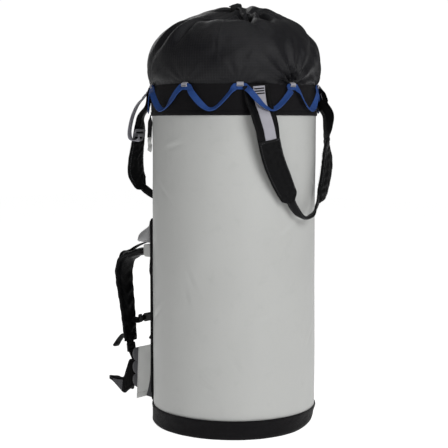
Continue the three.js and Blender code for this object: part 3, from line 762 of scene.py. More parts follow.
# Folds that run out from the gathered hem: angle, depth in mm, reach along the skin.
FOLDS = [(-36, 24, 0.230), (-58, 20, 0.150), (-80, 22, 0.190), (-110, 19, 0.190), (-12, 20, 0.190),
         (12, 17, 0.130), (38, 11, 0.080), (64, 12, 0.120), (92, 10, 0.080), (120, 12, 0.110),
         (150, 10, 0.080), (180, 12, 0.120), (206, 9, 0.080), (230, 12, 0.100)]
# Dents away from the hem: angle, height, slant in degrees, length, depth in mm.
DIMPLES = [(-103, 1.026, 62, 0.100, 17), (-90, 1.014, 80, 0.060, 9), (-14, 0.985, 70, 0.060, 3),
           (22, 1.000, 40, 0.080, 8), (70, 0.990, 70, 0.090, 9), (120, 1.010, 55, 0.080, 10),
           (165, 0.985, 80, 0.070, 8), (205, 1.012, 50, 0.080, 10), (-60, 0.962, 30, 0.060, 2.5)]
# Where the collar's panels are joined, in degrees, and how deep its fabric strains at a tab.
PANEL_SEAMS = [-62.6, 57.4, 177.4]
TAB_STRAINS = {3: 0.0100, 4: 0.0050}
LEAST_STRAIN = 0.0014


def leaned(vector, share=1):
    """A vector turned by a share of the hem's lean."""
    turned = Vector(vector)
    turned.rotate(Matrix.Rotation(math.radians(GATHER_TILT * share), 3, LEAN_AXIS))
    return turned


def storm_point(radius, z, angle):
    """A point of the smooth dome, which leans and shifts more towards its top."""
    tilt = smooth((TILT_FROM - radius) / (TILT_FROM - TILT_TO))
    shift = smooth((RADIUS - radius) / RADIUS)
    return leaned(around(angle, radius, 0), tilt) + Vector((GATHER_X * shift, GATHER_Y * shift, z))


def storm_relief(angle, travel, whole, radius, z):
    """How far the gathered fabric stands out or folds in, along the skin's normal."""
    left = whole - travel
    out = 0.0022 * wobble(angle * 0.030, travel * 9, 1) + 0.0012 * wobble(angle * 0.075, travel * 20, 4)
    out += 0.0040 * smooth(1 - left / 0.12) * smooth(left / 0.02) * wobble(angle * 0.06, travel * 14, 8)
    for a, depth, reach in FOLDS:
        bend = 6 * math.sin(left * 32 + a) * smooth(left / 0.03)
        off = arc_between(a + bend, angle, radius)
        width = 0.0042 + 0.085 * left
        fade = smooth(1 - left / reach) * smooth(left / 0.016 + 0.12)
        before, after = (hump(off + side * width, 1.25 * width) for side in (-2.0, 2.0))
        out += depth * MM * fade * (0.50 * before - hump(off, 0.85 * width) + 0.42 * after)
    for k, a in enumerate(TAB_ANGLES):
        x = arc_between(a, angle, RADIUS)
        spread = math.hypot(x, travel)
        if spread < 0.14:
            rays = TAB_STRAINS.get(k, LEAST_STRAIN) * math.sin(13 * math.atan2(travel, x) + 2.1 * k)
            out += rays * math.exp(-spread / 0.060) * smooth(spread / 0.012)
    for a, height, slant, length, depth in DIMPLES:
        along, across = slanted(arc_between(a, angle, 0.19), z - height, slant)
        if abs(along) < 0.14 and abs(across) < 0.09:
            fade = hump(along, length / 1.8)
            out += depth * MM * fade * (0.5 * hump(across - 0.022, 0.015) - hump(across + along * 0.1, 0.011)
                                        + 0.35 * hump(across + 0.023, 0.016))
    for a in PANEL_SEAMS:
        off = arc_between(a, angle, RADIUS)
        out += (0.0013 * hump(off - 0.0035, 0.003) - 0.0010 * hump(off + 0.001, 0.0016)) * smooth(left / 0.1)
    out += 0.0016 * hump(travel - 0.004, 0.004)
    return out - 0.0018


def add_storm_collar():
    columns, rows = 288, 100
    profile, travel = evened([(r, 0, z) for r, z in STORM_RINGS], rows)
    angles = np.linspace(0, 360, columns, endpoint=False)
    skin = np.array([[storm_point(r, z, a) for a in angles] for r, _, z in profile], float)
    down = np.gradient(skin, axis=0)
    turn = np.roll(skin, -1, axis=1) - np.roll(skin, 1, axis=1)
    normal = np.cross(turn, down)
    normal /= np.linalg.norm(normal, axis=2, keepdims=True)
    relief = np.array([[storm_relief(a, t, travel[-1], ring[0], p[2]) for a, p in zip(angles, row)]
                       for t, ring, row in zip(travel, profile, skin)])
    settle = np.array([smooth(t / 0.006) for t in travel])[:, None]
    skin += normal * (relief * settle)[:, :, None]
    lining = skin - normal * 0.0012
    collar = shell("storm_collar_fabric", skin, lining, round_uv(columns, travel), wrap_columns=True)
    hems = [row * columns + c for row in (0, rows - 1, rows, 2 * rows - 1) for c in range(columns)]
    puff(collar, 0.7, 0.0035, hems, frames=9, shrink=-0.02, stiffness=9)
    outfit(collar, "ripstop", "ripstop_fabric", "root", "storm_collar")
    runs = []
    for a in PANEL_SEAMS:
        k = int(round((a % 360) / 360 * columns)) % columns
        for step in (1, 3):
            runs.append([(Vector(skin[i, (k + step) % columns]) + Vector(normal[i, k]) * 0.0012,
                          Vector(normal[i, k])) for i in range(2, int(rows * 0.8))])
    stitches("storm_collar_stitching", runs, "thread_black", "ripstop_fabric", "root")
    return skin[-3]


def tube_faces(rows, columns, wrap_rows):
    """Faces between rings of points, each ring closed."""
    quads = []
    for k in range(rows if wrap_rows else rows - 1):
        for j in range(columns):
            k2, j2 = (k + 1) % rows, (j + 1) % columns
            quads.append((k * columns + j, k2 * columns + j, k2 * columns + j2, k * columns + j2))
    return quads


def add_gathered_hem(ring):
    """The rolled hem that holds the drawcord, puckered round it. ring is the collar's skin under it."""
    count, sides, radius = 120, 10, 0.0042
    picked = np.linspace(0, len(ring), count, endpoint=False).astype(int)
    middle = ring.mean(axis=0)
    centres = []
    for j, i in enumerate(picked):
        p = Vector(middle + (ring[i] - middle) * (1.0 + 0.10 * math.sin(j * 1.15) + 0.05 * math.sin(j * 2.3)))
        centres.append(p + Vector((0, 0, 0.0015 * math.sin(j * 0.9))))
    up = leaned(Z_AXIS)
    points = []
    for k in range(sides):
        a = 2 * math.pi * k / sides
        points += [p + (p - Vector(middle)).normalized() * radius * math.cos(a) + up * radius * math.sin(a)
                   for p in centres]
    corners = []
    for k in range(sides):
        for j in range(count):
            u, u2, v, v2 = k * 0.003, (k + 1) * 0.003, j * 0.001, (j + 1) * 0.001
            corners += [(u, v), (u2, v), (u2, v2), (u, v2)]
    outfit(mesh_object("gathered_hem", points, tube_faces(sides, count, True), corners), "ripstop",
           "ripstop_fabric", "root")


# ---- gear loops ----
# Heights of the ribbon's middle at the tabs and at a loop's bottom, and its radius at the tabs.
LOOP_PEAK, LOOP_LOW, LOOP_NEAR = 0.877, 0.8205, 0.2188
# The ribbon stays flat for this many degrees past a tab. Its bottom is a curve of this roundness.
LOOP_FLAT, LOOP_WIDTH, LOOP_ROUND = 3.0, 0.0160, 0.42
# How far each loop's two legs and its bottom turn their faces up from the collar, in degrees, and the radius
# that it hangs at.
LOOP_LIES = [(40, 14, 56, 0.2245), (12, 58, 60, 0.2255), (14, 56, 60, 0.2390), (38, 16, 58, 0.2250),
             (10, 14, 12, 0.2205), (14, 50, 55, 0.2240), (50, 12, 58, 0.2245), (20, 52, 55, 0.2235),
             (52, 16, 50, 0.2235), (8, 8, 8, 0.2222)]


def loop_station(first, last, lie, t):
    """Centre, and the twist of the ribbon's width from upright to facing out, between two tabs."""
    span = last - first
    from_tab = min(t, 1 - t) * span
    leaving = smooth((from_tab - LOOP_FLAT) / LOOP_FLAT)
    up = 1 - max(0.0, from_tab - LOOP_FLAT) / (span / 2 - LOOP_FLAT)
    rise, whole = (math.hypot(reach, LOOP_ROUND) - LOOP_ROUND for reach in (up, 1))
    z = lerp(LOOP_LOW, LOOP_PEAK, rise / whole)
    leg, other, bottom, radius = lie
    near = smooth((0.5 - abs(t - 0.5)) / 0.5 * 1.9 - 0.78)
    twist = math.radians(leaving * lerp(leg if t < 0.5 else other, bottom, near))
    angle = first + span * t
    return around(angle, lerp(LOOP_NEAR, radius, leaving), z), angle, twist


def add_gear_loops():
    centres, angles, twists = [], [], []
    for k, first in enumerate(TAB_ANGLES):
        last = TAB_ANGLES[k + 1] if k + 1 < len(TAB_ANGLES) else TAB_ANGLES[0] + 360
        for t in np.linspace(0, 1, 48, endpoint=False):
            centre, angle, twist = loop_station(first, last, LOOP_LIES[k], float(t))
            centres.append(centre)
            angles.append(angle)
            twists.append(twist)
    count = len(centres)
    s_values = [-1, -0.93, -0.6, 0, 0.6, 0.93, 1]
    front, back, uv, length = [], [], [], 0.0
    for i in range(count):
        flow = (centres[(i + 1) % count] - centres[i - 1]).normalized()
        out = outward(angles[i])
        flat = out.cross(flow).normalized()
        across = flat * math.cos(twists[i]) - out * math.sin(twists[i])
        normal = across.cross(flow).normalized()
        if normal.dot(out) < 0:
            normal = -normal
        half = LOOP_WIDTH / 2 * (1 - 0.05 * abs(wobble(i * 0.2, 3)))
        cup, half_thick = 0.0009, 0.0011
        cells = [(centres[i] + across * s * half + normal * cup * s * s,
                  normal * (half_thick * (0.35 if abs(s) == 1 else 1))) for s in s_values]
        front.append([middle + thick for middle, thick in cells])
        back.append([middle - thick for middle, thick in cells])
        uv.append([(s * half, length) for s in s_values])
        length += (centres[(i + 1) % count] - centres[i]).length
    uv.append([(s * LOOP_WIDTH / 2, length) for s in s_values])
    outfit(shell("gear_loop_ribbon", front, back, uv, wrap_rows=True), "blue", "blue_webbing", "root",
           "gear_loop_webbing")
    for k, angle in enumerate(TAB_ANGLES):
        add_tab(angle, k + 1)


def add_tab(angle, number):
    """A pale webbing tab folded over the ribbon and the rim, tacked down through both."""
    node = f"gear_loop_tab_{number:02d}"
    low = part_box(node)[0].z
    lean = 3.0 * wobble(number * 1.7, 2)
    path = [(0.2215, 0.0082), (0.2232, 0.0108), (0.2232, 0.0142), (0.2205, 0.0172), (0.2165, 0.0180),
            (0.2138, 0.0155), (0.2134, 0.0120)]
    across = (tangent(angle) + Vector((0, 0, 0.03 * lean))).normalized()
    line = [around(angle, r, low + z) for r, z in path]
    tab = strap(f"{node}_fabric", "root", line, 0.0170, 0.0019, across, node, look="grey", slot="grey_webbing",
                rows=26, columns=9, power=10)
    bar_tack(f"gear_loop_tack_{number:02d}", tab.at(3, 0, -1, 0.0004), Z_AXIS, outward(angle), 0.0125,
             "thread_grey", "root", depth=0.0028)


# ---- haul straps ----
# The middles of the hanging legs on the right-hand side, and of the bends that join the legs at the bottom.
FRONT_SLEEVE = [(0.128, -0.199, 0.806), (0.123, -0.207, 0.775), (0.118, -0.211, 0.741), (0.110, -0.213, 0.710),
                (0.0985, -0.217, 0.678), (0.0775, -0.223, 0.636), (0.0590, -0.228, 0.603)]
FRONT_SLEEVE_RIGHT = [(0.127, -0.1975, 0.806), (0.122, -0.205, 0.775), (0.118, -0.210, 0.741),
                      (0.1150, -0.214, 0.710), (0.1085, -0.2175, 0.678), (0.0895, -0.223, 0.636),
                      (0.0690, -0.228, 0.603)]
FRONT_BEND = [(0.070, -0.2265, 0.611), (0.060, -0.229, 0.597), (0.049, -0.231, 0.580), (0.024, -0.235, 0.558),
              (-0.006, -0.237, 0.552), (-0.032, -0.235, 0.562), (-0.051, -0.231, 0.582), (-0.060, -0.229, 0.597),
              (-0.070, -0.2265, 0.611)]
REAR_SLEEVE = [(0.132, 0.202, 0.806), (0.130, 0.210, 0.786), (0.124, 0.224, 0.754), (0.121, 0.234, 0.722),
               (0.118, 0.242, 0.690), (0.1105, 0.2485, 0.657), (0.097, 0.2465, 0.630), (0.086, 0.243, 0.615)]
REAR_BEND = [(0.104, 0.2465, 0.637), (0.098, 0.243, 0.622), (0.080, 0.240, 0.608), (0.042, 0.236, 0.586),
             (0, 0.235, 0.578), (-0.042, 0.236, 0.586), (-0.080, 0.240, 0.608), (-0.098, 0.243, 0.622),
             (-0.104, 0.2465, 0.637)]
# The height at which the padded sleeve closes over its backing.
MOUTH_Z = 0.745
# The angle round the bag that each hanging sleeve's flat lies along, from the rear ones to the front right.
SLEEVE_TURN = {("front", "left"): -26, ("front", "right"): 10, ("rear", "left"): 180, ("rear", "right"): 180}
# Widths of the backing and the padded sleeve over it, at these heights.
FRONT_WIDTHS = [(0.590, 0.044), (0.615, 0.050), (0.650, 0.057), (0.690, 0.059), (0.745, 0.060), (0.800, 0.064),
                (0.870, 0.066)]
REAR_WIDTHS = [(0.615, 0.044), (0.630, 0.054), (0.655, 0.061), (0.690, 0.055), (0.7265, 0.048), (0.765, 0.044),
               (0.803, 0.037), (0.842, 0.029), (0.870, 0.030)]


def mirrored(points, sign):
    return [(sign * x, y, z) for x, y, z in points]


def hanging(swing, front):
    """The bodies and the span over which a haul strap bends from the rim to its hanging part."""
    y = -0.216 if front else 0.212
    return ("root", swing, (0, y, 0.829), (0, y, 0.792))


BACKING_ROWS = 120


def add_haul_leg(side, hand, sign):
    """One leg of a haul strap: its backing, then the padded sleeve and the webbing over it."""
    front = side == "front"
    swing = f"{side}_haul_strap"
    body = hanging(swing, front)
    anchor = 35.5 if front else 38.5
    rim_angle = sign * anchor if front else 180 - sign * anchor
    settle = sign * (anchor - 1.5) if front else rim_angle
    sleeve = mirrored(REAR_SLEEVE if not front else FRONT_SLEEVE if sign < 0 else FRONT_SLEEVE_RIGHT, sign)
    path = [around(rim_angle, 0.2183, RIM - 0.002), around(lerp(rim_angle, settle, 0.4), 0.2192, 0.858),
            around(settle, 0.2225, 0.832), *(Vector(p) for p in sleeve)]
    if front:
        path.append(Vector((-0.0520 if sign < 0 else 0.0590, -0.2293, 0.590)))
    first = math.radians(rim_angle)
    last = math.radians(SLEEVE_TURN[side, hand])
    widths = FRONT_WIDTHS if front else REAR_WIDTHS

    # The front right leg's backing turns in first, and it opens out again past its mouth.
    turn_from, turn_over, turned_in = (0.36, 0.32, 21) if front and sign > 0 else (0.10, 0.40, 0)

    def across(v):
        a = first + ((last - first + math.pi) % (2 * math.pi) - math.pi) * smooth((v - turn_from) / turn_over)
        a += math.radians(turned_in) * smooth(v / 0.14) * smooth((0.60 - v) / 0.24)
        return Vector((math.cos(a), math.sin(a), 0))

    heights = evened(path, 201)[0][:, 2]
    mouth = next(i for i, z in enumerate(heights) if z < MOUTH_Z) / 200
    full_width = lambda v: float(np.interp(heights[int(round(v * 200))], *zip(*widths)))
    # The front backings lie further out than the webbing on them, on the side away from the other leg.
    offset = 0.0055 if front else 0.0
    path = [p + across(0) * (sign * offset if front else 0) for p in path[:3]] + [
        p + across(1) * (sign * offset * lerp(1, 0.3, k / len(sleeve)) if front else 0)
        for k, p in enumerate(path[3:])]

    def curl(v, s):
        """The open backing's edges roll out on both sides of the webbing, above the sleeve's mouth."""
        opened = smooth((mouth + 0.03 - v) / 0.28) * smooth(v / 0.10 + 0.35)
        height = 0.0135 if front and sign > 0 else 0.0075
        return opened * height * smooth((abs(s) - 0.36) / 0.55) * facing + 0.0003 * math.sin(31 * v + 3 * s)

    probe = Ribbon(path, 0.03, 0.003, across, rows=20, columns=3)
    facing = 1 if (probe.normal[10] @ np.array(outward(rim_angle))) > 0 else -1
    width = lambda v: full_width(v) * lerp(1.0, 0.42, smooth((v - 0.93) / 0.07))
    backing = Ribbon(path, width, lambda v: lerp(0.0052, 0.0060, smooth((v - mouth) / 0.1)), across,
                     rows=BACKING_ROWS, columns=21, power=3, lift=curl)
    outfit(backing.mesh(f"{side}_haul_backing_{hand}"), "sleeve", "padded_black_fabric", body)
    start = int(mouth * (BACKING_ROWS - 1))
    add_haul_sleeve(side, hand, sign, backing, mouth, start, across, full_width)
    add_haul_webbing(side, hand, sign, backing, mouth, start, across, facing, rim_angle)


def add_haul_sleeve(side, hand, sign, backing, mouth, start, across, full_width):
    """The padded sleeve, closed over the backing from its mouth to the narrow, rounded end."""
    swing = f"{side}_haul_strap"
    rows, columns = 76, 17
    line = [backing.centre[i] + backing.normal[i] * 0.0006 for i in range(start, BACKING_ROWS, 3)]
    turn = lambda v: across(lerp(mouth, 1, v))
    rounding = lambda v: lerp(0.34, 1.0, math.sqrt(1 - smooth((v - 0.84) / 0.16) ** 2))
    sleeve_width = lambda v: full_width(lerp(mouth, 1, v)) * rounding(v)
    wrinkle = lambda v, s: (0.0010 * math.sin(v * 44 + 2.4 * math.sin(5 * s + sign)) * (1 - s * s)
                            * (0.4 + 0.6 * hump(v - 0.12, 0.14) + 0.5 * hump(v - 0.8, 0.12)))
    cover = Ribbon(line, sleeve_width, lambda v: 0.0125 * lerp(0.75, 1, smooth(v / 0.06)), turn, rows=rows,
                   columns=columns, power=3, lift=wrinkle,
                   full=lambda v, s: 1 + 0.10 * math.cos(3 * math.pi * s))
    node = f"{side}_haul_sleeve_{hand}"
    made = cover.mesh(f"{node}_cover")
    puff(made, 1.6, 0.003, sewn_rim(rows, columns), frames=8, shrink=-0.02)
    outfit(made, "sleeve", "padded_black_fabric", swing, node)
    faces = (1, -1)
    runs = [cover.run(s, face, 0.02, 0.86, 0.0016) for s in (-0.86, 0.86) for face in faces]
    runs += [cover.cross_run(0.012, 0.8, face, 8, 0.0012) for face in faces]
    stitches(f"{node}_stitching", runs, "thread_grey", "padded_black_fabric", swing)
    top = cover.centre[:3]
    strap(f"{side}_haul_mouth_tape_{hand}", swing, [top[0] - (top[2] - top[0]) * 0.4, *top],
          full_width(mouth) * 0.99, 0.0130, turn(0), rows=7, columns=columns, power=3)


def add_haul_webbing(side, hand, sign, backing, mouth, start, across, facing, rim_angle):
    """The pale webbing that carries the load, over the backing and into the sleeve's mouth."""
    front, swing = side == "front", f"{side}_haul_strap"
    if front or sign > 0:
        lean = -sign * 0.0060 if front else 0.0
        over = [backing.centre[i] + backing.normal[i] * facing * (0.0046 + 0.0004 * math.sin(i * 0.11))
                + np.array(across(i / (BACKING_ROWS - 1))) * lean * lerp(1, 0.7, i / start)
                for i in range(1, start, 4)]
        webbing_body = hanging(swing, front)
        over_across = lambda v: across(v * mouth)
        webbing_width = 0.0295
    else:
        # It hangs in a bight beside the sleeve and comes back up to the ladder lock.
        over = [around(rim_angle, 0.2212, RIM - 0.004), around(rim_angle, 0.2245, 0.870),
                (-0.1375, 0.1950, 0.854), (-0.1390, 0.2140, 0.8365), (-0.1420, 0.2285, 0.810),
                (-0.1460, 0.2343, 0.784), (-0.1500, 0.2340, 0.764), (-0.1550, 0.2260, 0.7480),
                (-0.1530, 0.2165, 0.7425), (-0.1440, 0.2105, 0.7450), (-0.1370, 0.2110, 0.7510)]
        webbing_body = ("root", swing, (0, 0.19, 0.856), (0, 0.222, 0.824))
        a0 = math.radians(rim_angle - 180)
        turned = lambda v: lerp(a0, math.radians(20), smooth(v / 0.45))
        over_across = lambda v: Vector((math.cos(turned(v)), math.sin(turned(v)), 0))
        webbing_width = lambda v: lerp(0.028, 0.0235, smooth(v / 0.4))
    node = f"{side}_haul_webbing_{hand}"
    carry = strap(f"{node}_tape", webbing_body, over, webbing_width, 0.0021, over_across, node, look="grey",
                  slot="grey_webbing", rows=90, columns=11, power=10)
    face = 1 if carry.normal[2] @ np.array(outward(rim_angle)) > 0 else -1
    for k, row in enumerate((4, 8, 12)):
        centre = carry.at(row, 0, face, 0.0003)
        flow = Vector(carry.centre[row + 1] - carry.centre[row - 1]).normalized()
        bar_tack(f"{side}_haul_tack_{hand}_{k + 1}", centre, flow, Vector(carry.normal[row]) * face, 0.0245,
                 "thread_black", "root", depth=0.0030)


def add_haul_bend(side):
    front = side == "front"
    start, end = (10, 154) if front else (0, 180)
    # The strap is folded and sewn narrow between the sleeves, with its flat square off the wall.
    across = lambda v: tangent(lerp(start, end, smooth(v)))
    narrow = lambda v: lerp(0.023, 0.017, hump(v - 0.5, 0.30))
    thick = lambda v: lerp(0.0050, 0.0078, hump(v - 0.5, 0.3))
    name, swing = f"{side}_haul_bend_tape", f"{side}_haul_strap"
    bend = strap(name, swing, FRONT_BEND if front else REAR_BEND, narrow, thick, across, f"{side}_haul_bend",
                 rows=72, columns=13, power=5, lift=lambda v, s: 0.0007 * math.sin(26 * v + 2 * s))
    runs = [bend.run(s, face, 0.03, 0.97, 0.0004) for s in (-0.75, 0.75) for face in (1, -1)]
    stitches(f"{name}_stitching", runs, "thread_grey", "black_webbing", swing)


def add_haul_straps():
    for side in ("front", "rear"):
        for hand, sign in HANDS:
            add_haul_leg(side, hand, sign)
        add_haul_bend(side)


# ---- harness ----
def patch(name, columns, rows, at, raised, size):
    """A closed pad over a surface: at(a, b) gives (point, normal) and raised(a, b) the height of its face."""
    front, back, uv = [], [], []
    shares = [i / (columns - 1) for i in range(columns)]
    for j in range(rows):
        b = j / (rows - 1)
        cells = [(*at(a, b), raised(a, b)) for a in shares]
        front.append([p + n * h for p, n, h in cells])
        back.append([p for p, n, h in cells])
        uv.append([(a * size[0], b * size[1]) for a in shares])
    return shell(name, front, back, uv)


def rounded_edge(a, b, size, radius, least=0.25):
    """1 inside a rectangle of that size, rolling off to a small height at its edges."""
    near = min(a * size[0], (1 - a) * size[0], b * size[1], (1 - b) * size[1])
    t = min(max(near / radius, 0.0), 1.0)
    return lerp(least, 1.0, math.sqrt(1 - (1 - t) ** 2))


def pinned_rim(columns, rows, extra=lambda i, j: False):
    """Vertex numbers of a patch's back, and of its face where it is sewn down."""
    base = columns * rows
    sewn = [j * columns + i for j in range(rows) for i in range(columns)
            if i in (0, columns - 1) or j in (0, rows - 1) or extra(i, j)]
    return sewn + list(range(base, 2 * base))


# Half the angle that the harness panel and the back pad take up round the bag.
PANEL_HALF, BACK_HALF = 40, 22
PAD_RADIUS = RADIUS + 0.0052


def wall_patch(half_angle, radius, low, high):
    """The bag's back wall as a surface for patch()."""
    def at(a, b):
        angle = 180 + half_angle * (1 - 2 * a)
        return around(angle, radius, lerp(low, high, b)), outward(angle)
    return at


def add_back_panel():
    low, high = PANEL_LOW.z, PANEL_HIGH.z
    inner = RADIUS + 0.0004
    width = 2 * math.radians(PANEL_HALF) * inner
    size = (width, high - low)

    def height(a, b):
        quilt = 0.0006 * math.sin(a * 9 * math.pi) ** 8
        return 0.0046 * rounded_edge(a, b, size, 0.006, 0.4) - quilt + 0.0007 * wobble(a * 5, b * 9, 3)

    panel = patch("harness_panel_fabric", 61, 97, wall_patch(PANEL_HALF, inner, low, high), height, size)
    outfit(panel, "panel", "ballistic_fabric", "root", "harness_panel")
    binding(low, high, inner + 0.0028)
    pad_low, pad_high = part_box("back_pad")
    pad_size = (2 * math.radians(BACK_HALF) * PAD_RADIUS, pad_high.z - pad_low.z)
    channels = (0.27, 0.5, 0.73)

    def pad_height(a, b):
        grooves = [hump((b - c) * pad_size[1], 0.005) for c in channels]
        groove = max(hump((a - 0.5) * pad_size[0], 0.006), *grooves)
        return 0.0088 * rounded_edge(a, b, pad_size, 0.016, 0.25) * (1 - 0.55 * groove)

    columns, rows = 41, 61
    pad = patch("back_pad_cover", columns, rows, wall_patch(BACK_HALF, PAD_RADIUS, pad_low.z, pad_high.z),
                pad_height, pad_size)
    sewn_rows = {int(round(c * (rows - 1))) for c in channels}
    puff(pad, 2.2, 0.004, pinned_rim(columns, rows, lambda i, j: j in sewn_rows or i == (columns - 1) // 2))
    outfit(pad, "mesh", "foam_mesh", "root", "back_pad")


def binding(low, high, radius):
    """Folded tape round the harness panel's sides and top."""
    half, corner, turn, drop = PANEL_HALF - 0.6, 0.02, 5.5, 0.0015
    loop = [around(180 - half, radius, z) for z in (low + corner, (low + high) / 2, high - corner)]
    for k in range(4):
        bent = math.sin(k / 3 * math.pi / 2)
        loop.append(around(180 - half + turn * bent, radius, high - corner + (corner - drop) * bent))
    loop += [around(a, radius, high - drop) for a in np.linspace(180 - half + 12, 180 + half - 12, 12)]
    loop += [around(360 - math.degrees(math.atan2(p.x, -p.y)), radius, p.z) for p in reversed(loop[:7])]
    # Its width direction is a placeholder: the tape's frame is then set square to the wall.
    edge = Ribbon(loop, 0.0052, 0.0068, Vector((0.37, 0.11, 0.92)), rows=200, columns=7, power=3)
    edge.normal = unit(edge.centre * (1, 1, 0))
    edge.side = np.cross(heading(edge.centre), edge.normal)
    outfit(edge.mesh("harness_panel_binding_top"), "black_tape", "black_webbing", "root")


STRAP_X = 0.069
# Side profiles of the straps, their webbings, the loose tails and the hood, as (y, z) from the pack outwards.
SHOULDER_PATH = [(0.236, 0.4472), (0.246, 0.4445), (0.263, 0.4385), (0.297, 0.4280), (0.3255, 0.4130),
                 (0.3375, 0.387), (0.3375, 0.355), (0.332, 0.320), (0.3265, 0.285), (0.322, 0.250),
                 (0.318, 0.215), (0.3143, 0.1845)]
LIFTER_PATH = [(0.2330, 0.4655), (0.2405, 0.4662), (0.262, 0.461), (0.285, 0.452), (0.303, 0.4425),
               (0.3125, 0.4375), (0.3180, 0.4325), (0.3250, 0.4260), (0.3275, 0.4185)]
LOWER_PATH = [(0.2560, 0.0800), (0.2642, 0.0860), (0.271, 0.096), (0.292, 0.126), (0.308, 0.1505),
              (0.3120, 0.1600), (0.3135, 0.1680), (0.3140, 0.1790), (0.3135, 0.1900)]
LOWER_TAIL = [(0.3170, 0.1720), (0.3205, 0.1880), (0.3270, 0.2010), (0.3370, 0.2000), (0.3480, 0.1890),
              (0.3580, 0.1760), (0.3665, 0.1640)]
LIFTER_TAIL = [(0.3205, 0.4365), (0.3300, 0.4350), (0.3400, 0.4270), (0.3440, 0.4130), (0.3450, 0.3960)]
HOOD_PATH = [(0.2235, 0.529), (0.2310, 0.5115), (0.2435, 0.4995), (0.2550, 0.4900), (0.2622, 0.4800),
             (0.2600, 0.4710)]


# Where each adjuster's webbing stops following the pack, and where it starts to follow the straps.
ADJUSTER_BENDS = {"load_lifter": ((0, 0.2405, 0.4660), (0, 0.303, 0.4425)),
                  "lower": ((0, 0.2642, 0.0860), (0, 0.308, 0.1505))}


def in_profile(x, path):
    return [(x, y, z) for y, z in path]


def add_yoke_and_lumbar():
    """The pale yoke over the straps' roots, and the three-lobed pad below."""
    low, high, size = size_of("shoulder_yoke")

    wall_y = lambda x: math.sqrt((RADIUS + 0.0065) ** 2 - x * x)

    def yoke_at(a, b):
        x = lerp(high.x, low.x, a)
        return Vector((x, wall_y(x), lerp(low.z, high.z, b))), Y_AXIS

    def yoke_height(a, b):
        depth = high.y - wall_y(lerp(high.x, low.x, a))
        roll = rounded_edge(a, b, (size.x, size.z), 0.0160, 0.10)
        pleat = 0.0013 * wobble(a * 9, b * 2, 6) + 0.0010 * hump((b - 0.5) * size.z, 0.004)
        return max(depth - 0.0130 * (1 - roll), 0.002) + pleat * roll - 0.001

    yoke = patch("shoulder_yoke_fabric", 61, 19, yoke_at, yoke_height, (size.x, size.z))
    outfit(yoke, "shell", "shell_fabric", "root", "shoulder_yoke")
    inset = 0.006
    reach = np.linspace(low.x + inset, high.x - inset, 60)
    runs = [[(Vector((x, high.y - 0.0004, z)), Y_AXIS) for x in reach] for z in (low.z + inset, high.z - inset)]
    stitches("shoulder_yoke_stitching", runs, "thread_grey", "shell_fabric", "root")

    low, high, size = size_of("lumbar_pad")
    lobes = 3

    def lumbar_at(a, b):
        return Vector((lerp(high.x, low.x, a), low.y - 0.001, lerp(low.z, high.z, b))), Y_AXIS

    def lumbar_height(a, b):
        lobe = abs(math.sin(math.pi * lobes * b)) ** 0.55
        waist = 1 - 0.22 * hump(a - 0.5, 0.16)
        return (size.y * waist + 0.0085) * rounded_edge(a, 0.5, size, 0.010, 0.60) * (0.64 + 0.36 * lobe)

    columns, rows = 61, 49
    pad = patch("lumbar_pad_cover", columns, rows, lumbar_at, lumbar_height, (size.x, size.z))
    grooves = {int(round(k / lobes * (rows - 1))) for k in range(1, lobes)}
    puff(pad, 2.6, 0.0035, pinned_rim(columns, rows, lambda i, j: j in grooves))
    outfit(pad, "mesh", "foam_mesh", "root", "lumbar_pad")


def add_hood():
    """A grey flap over the top of the harness, with a gusset at each side."""
    size = size_of("harness_hood")[2]
    wall = RADIUS + 0.0055

    def hug(v, s):
        """How far the flap follows the round wall. It straightens out towards the lip."""
        return (wall - math.sqrt(wall ** 2 - (s * size.x / 2) ** 2)) * 0.6 * (1 - smooth(v / 0.7))

    roof = Ribbon(in_profile(0, HOOD_PATH), size.x, 0.0028, -X_AXIS, rows=36, columns=41, power=14,
                  lift=lambda v, s: 0.0022 * math.sin(math.pi * v) * math.cos(5 * s + 1) * (1 - s * s)
                  - 0.0030 * abs(s) ** 6 - hug(v, s))
    cover = roof.mesh("harness_hood_fabric")
    outfit(cover, "hood", "dark_grey_fabric", "harness_hood", "harness_hood")
    runs = [roof.run(s, face, 0.04, 0.98, 0.0003) for s in (-0.93, 0.93) for face in (1, -1)]
    stitches("harness_hood_stitching", runs, "thread_black", "dark_grey_fabric", "harness_hood")
    lip_y, lip_z = HOOD_PATH[-1]
    reach = np.linspace(-size.x / 2 + 0.001, size.x / 2 - 0.001, 5)
    lip = [(x, lip_y - 0.0005, lip_z - 0.0002) for x in reach]
    strap("harness_hood_binding", "harness_hood", lip, 0.0075, 0.0042, Vector((0, 0.25, 0.97)), look="hood",
          slot="dark_grey_fabric", rows=40, columns=7, power=3)
    under = [(0.2125, 0.5230), (0.2130, 0.4960), (0.2150, 0.4700), (0.2300, 0.4665), (0.2500, 0.4675),
             (0.2585, 0.4700)]
    rows, columns = 24, 10
    for hand, sign in HANDS:
        x, out = sign * (size.x / 2 - 0.0025), X_AXIS * sign
        top, bottom = (evened(in_profile(x, path), rows)[0] for path in (HOOD_PATH, under))
        front, back, uv = [], [], []
        for i, (p, q) in enumerate(zip(top, bottom)):
            p = p - np.array([0, hug(i / (rows - 1), 1), 0])
            cells = [Vector(p) + (Vector(q) - Vector(p)) * t for t in np.linspace(0, 1, columns)]
            cells = [c + out * 0.0070 * math.sin(math.pi * k / (columns - 1)) for k, c in enumerate(cells)]
            front.append([c + out * 0.0011 for c in cells])
            back.append([c - out * 0.0011 for c in cells])
            uv.append([(c.y, c.z) for c in cells])
        painted_shade_sheet = shell(f"harness_hood_gusset_{hand}", front, back, uv)
        outfit(painted_shade_sheet, "hood", "dark_grey_fabric", "harness_hood")


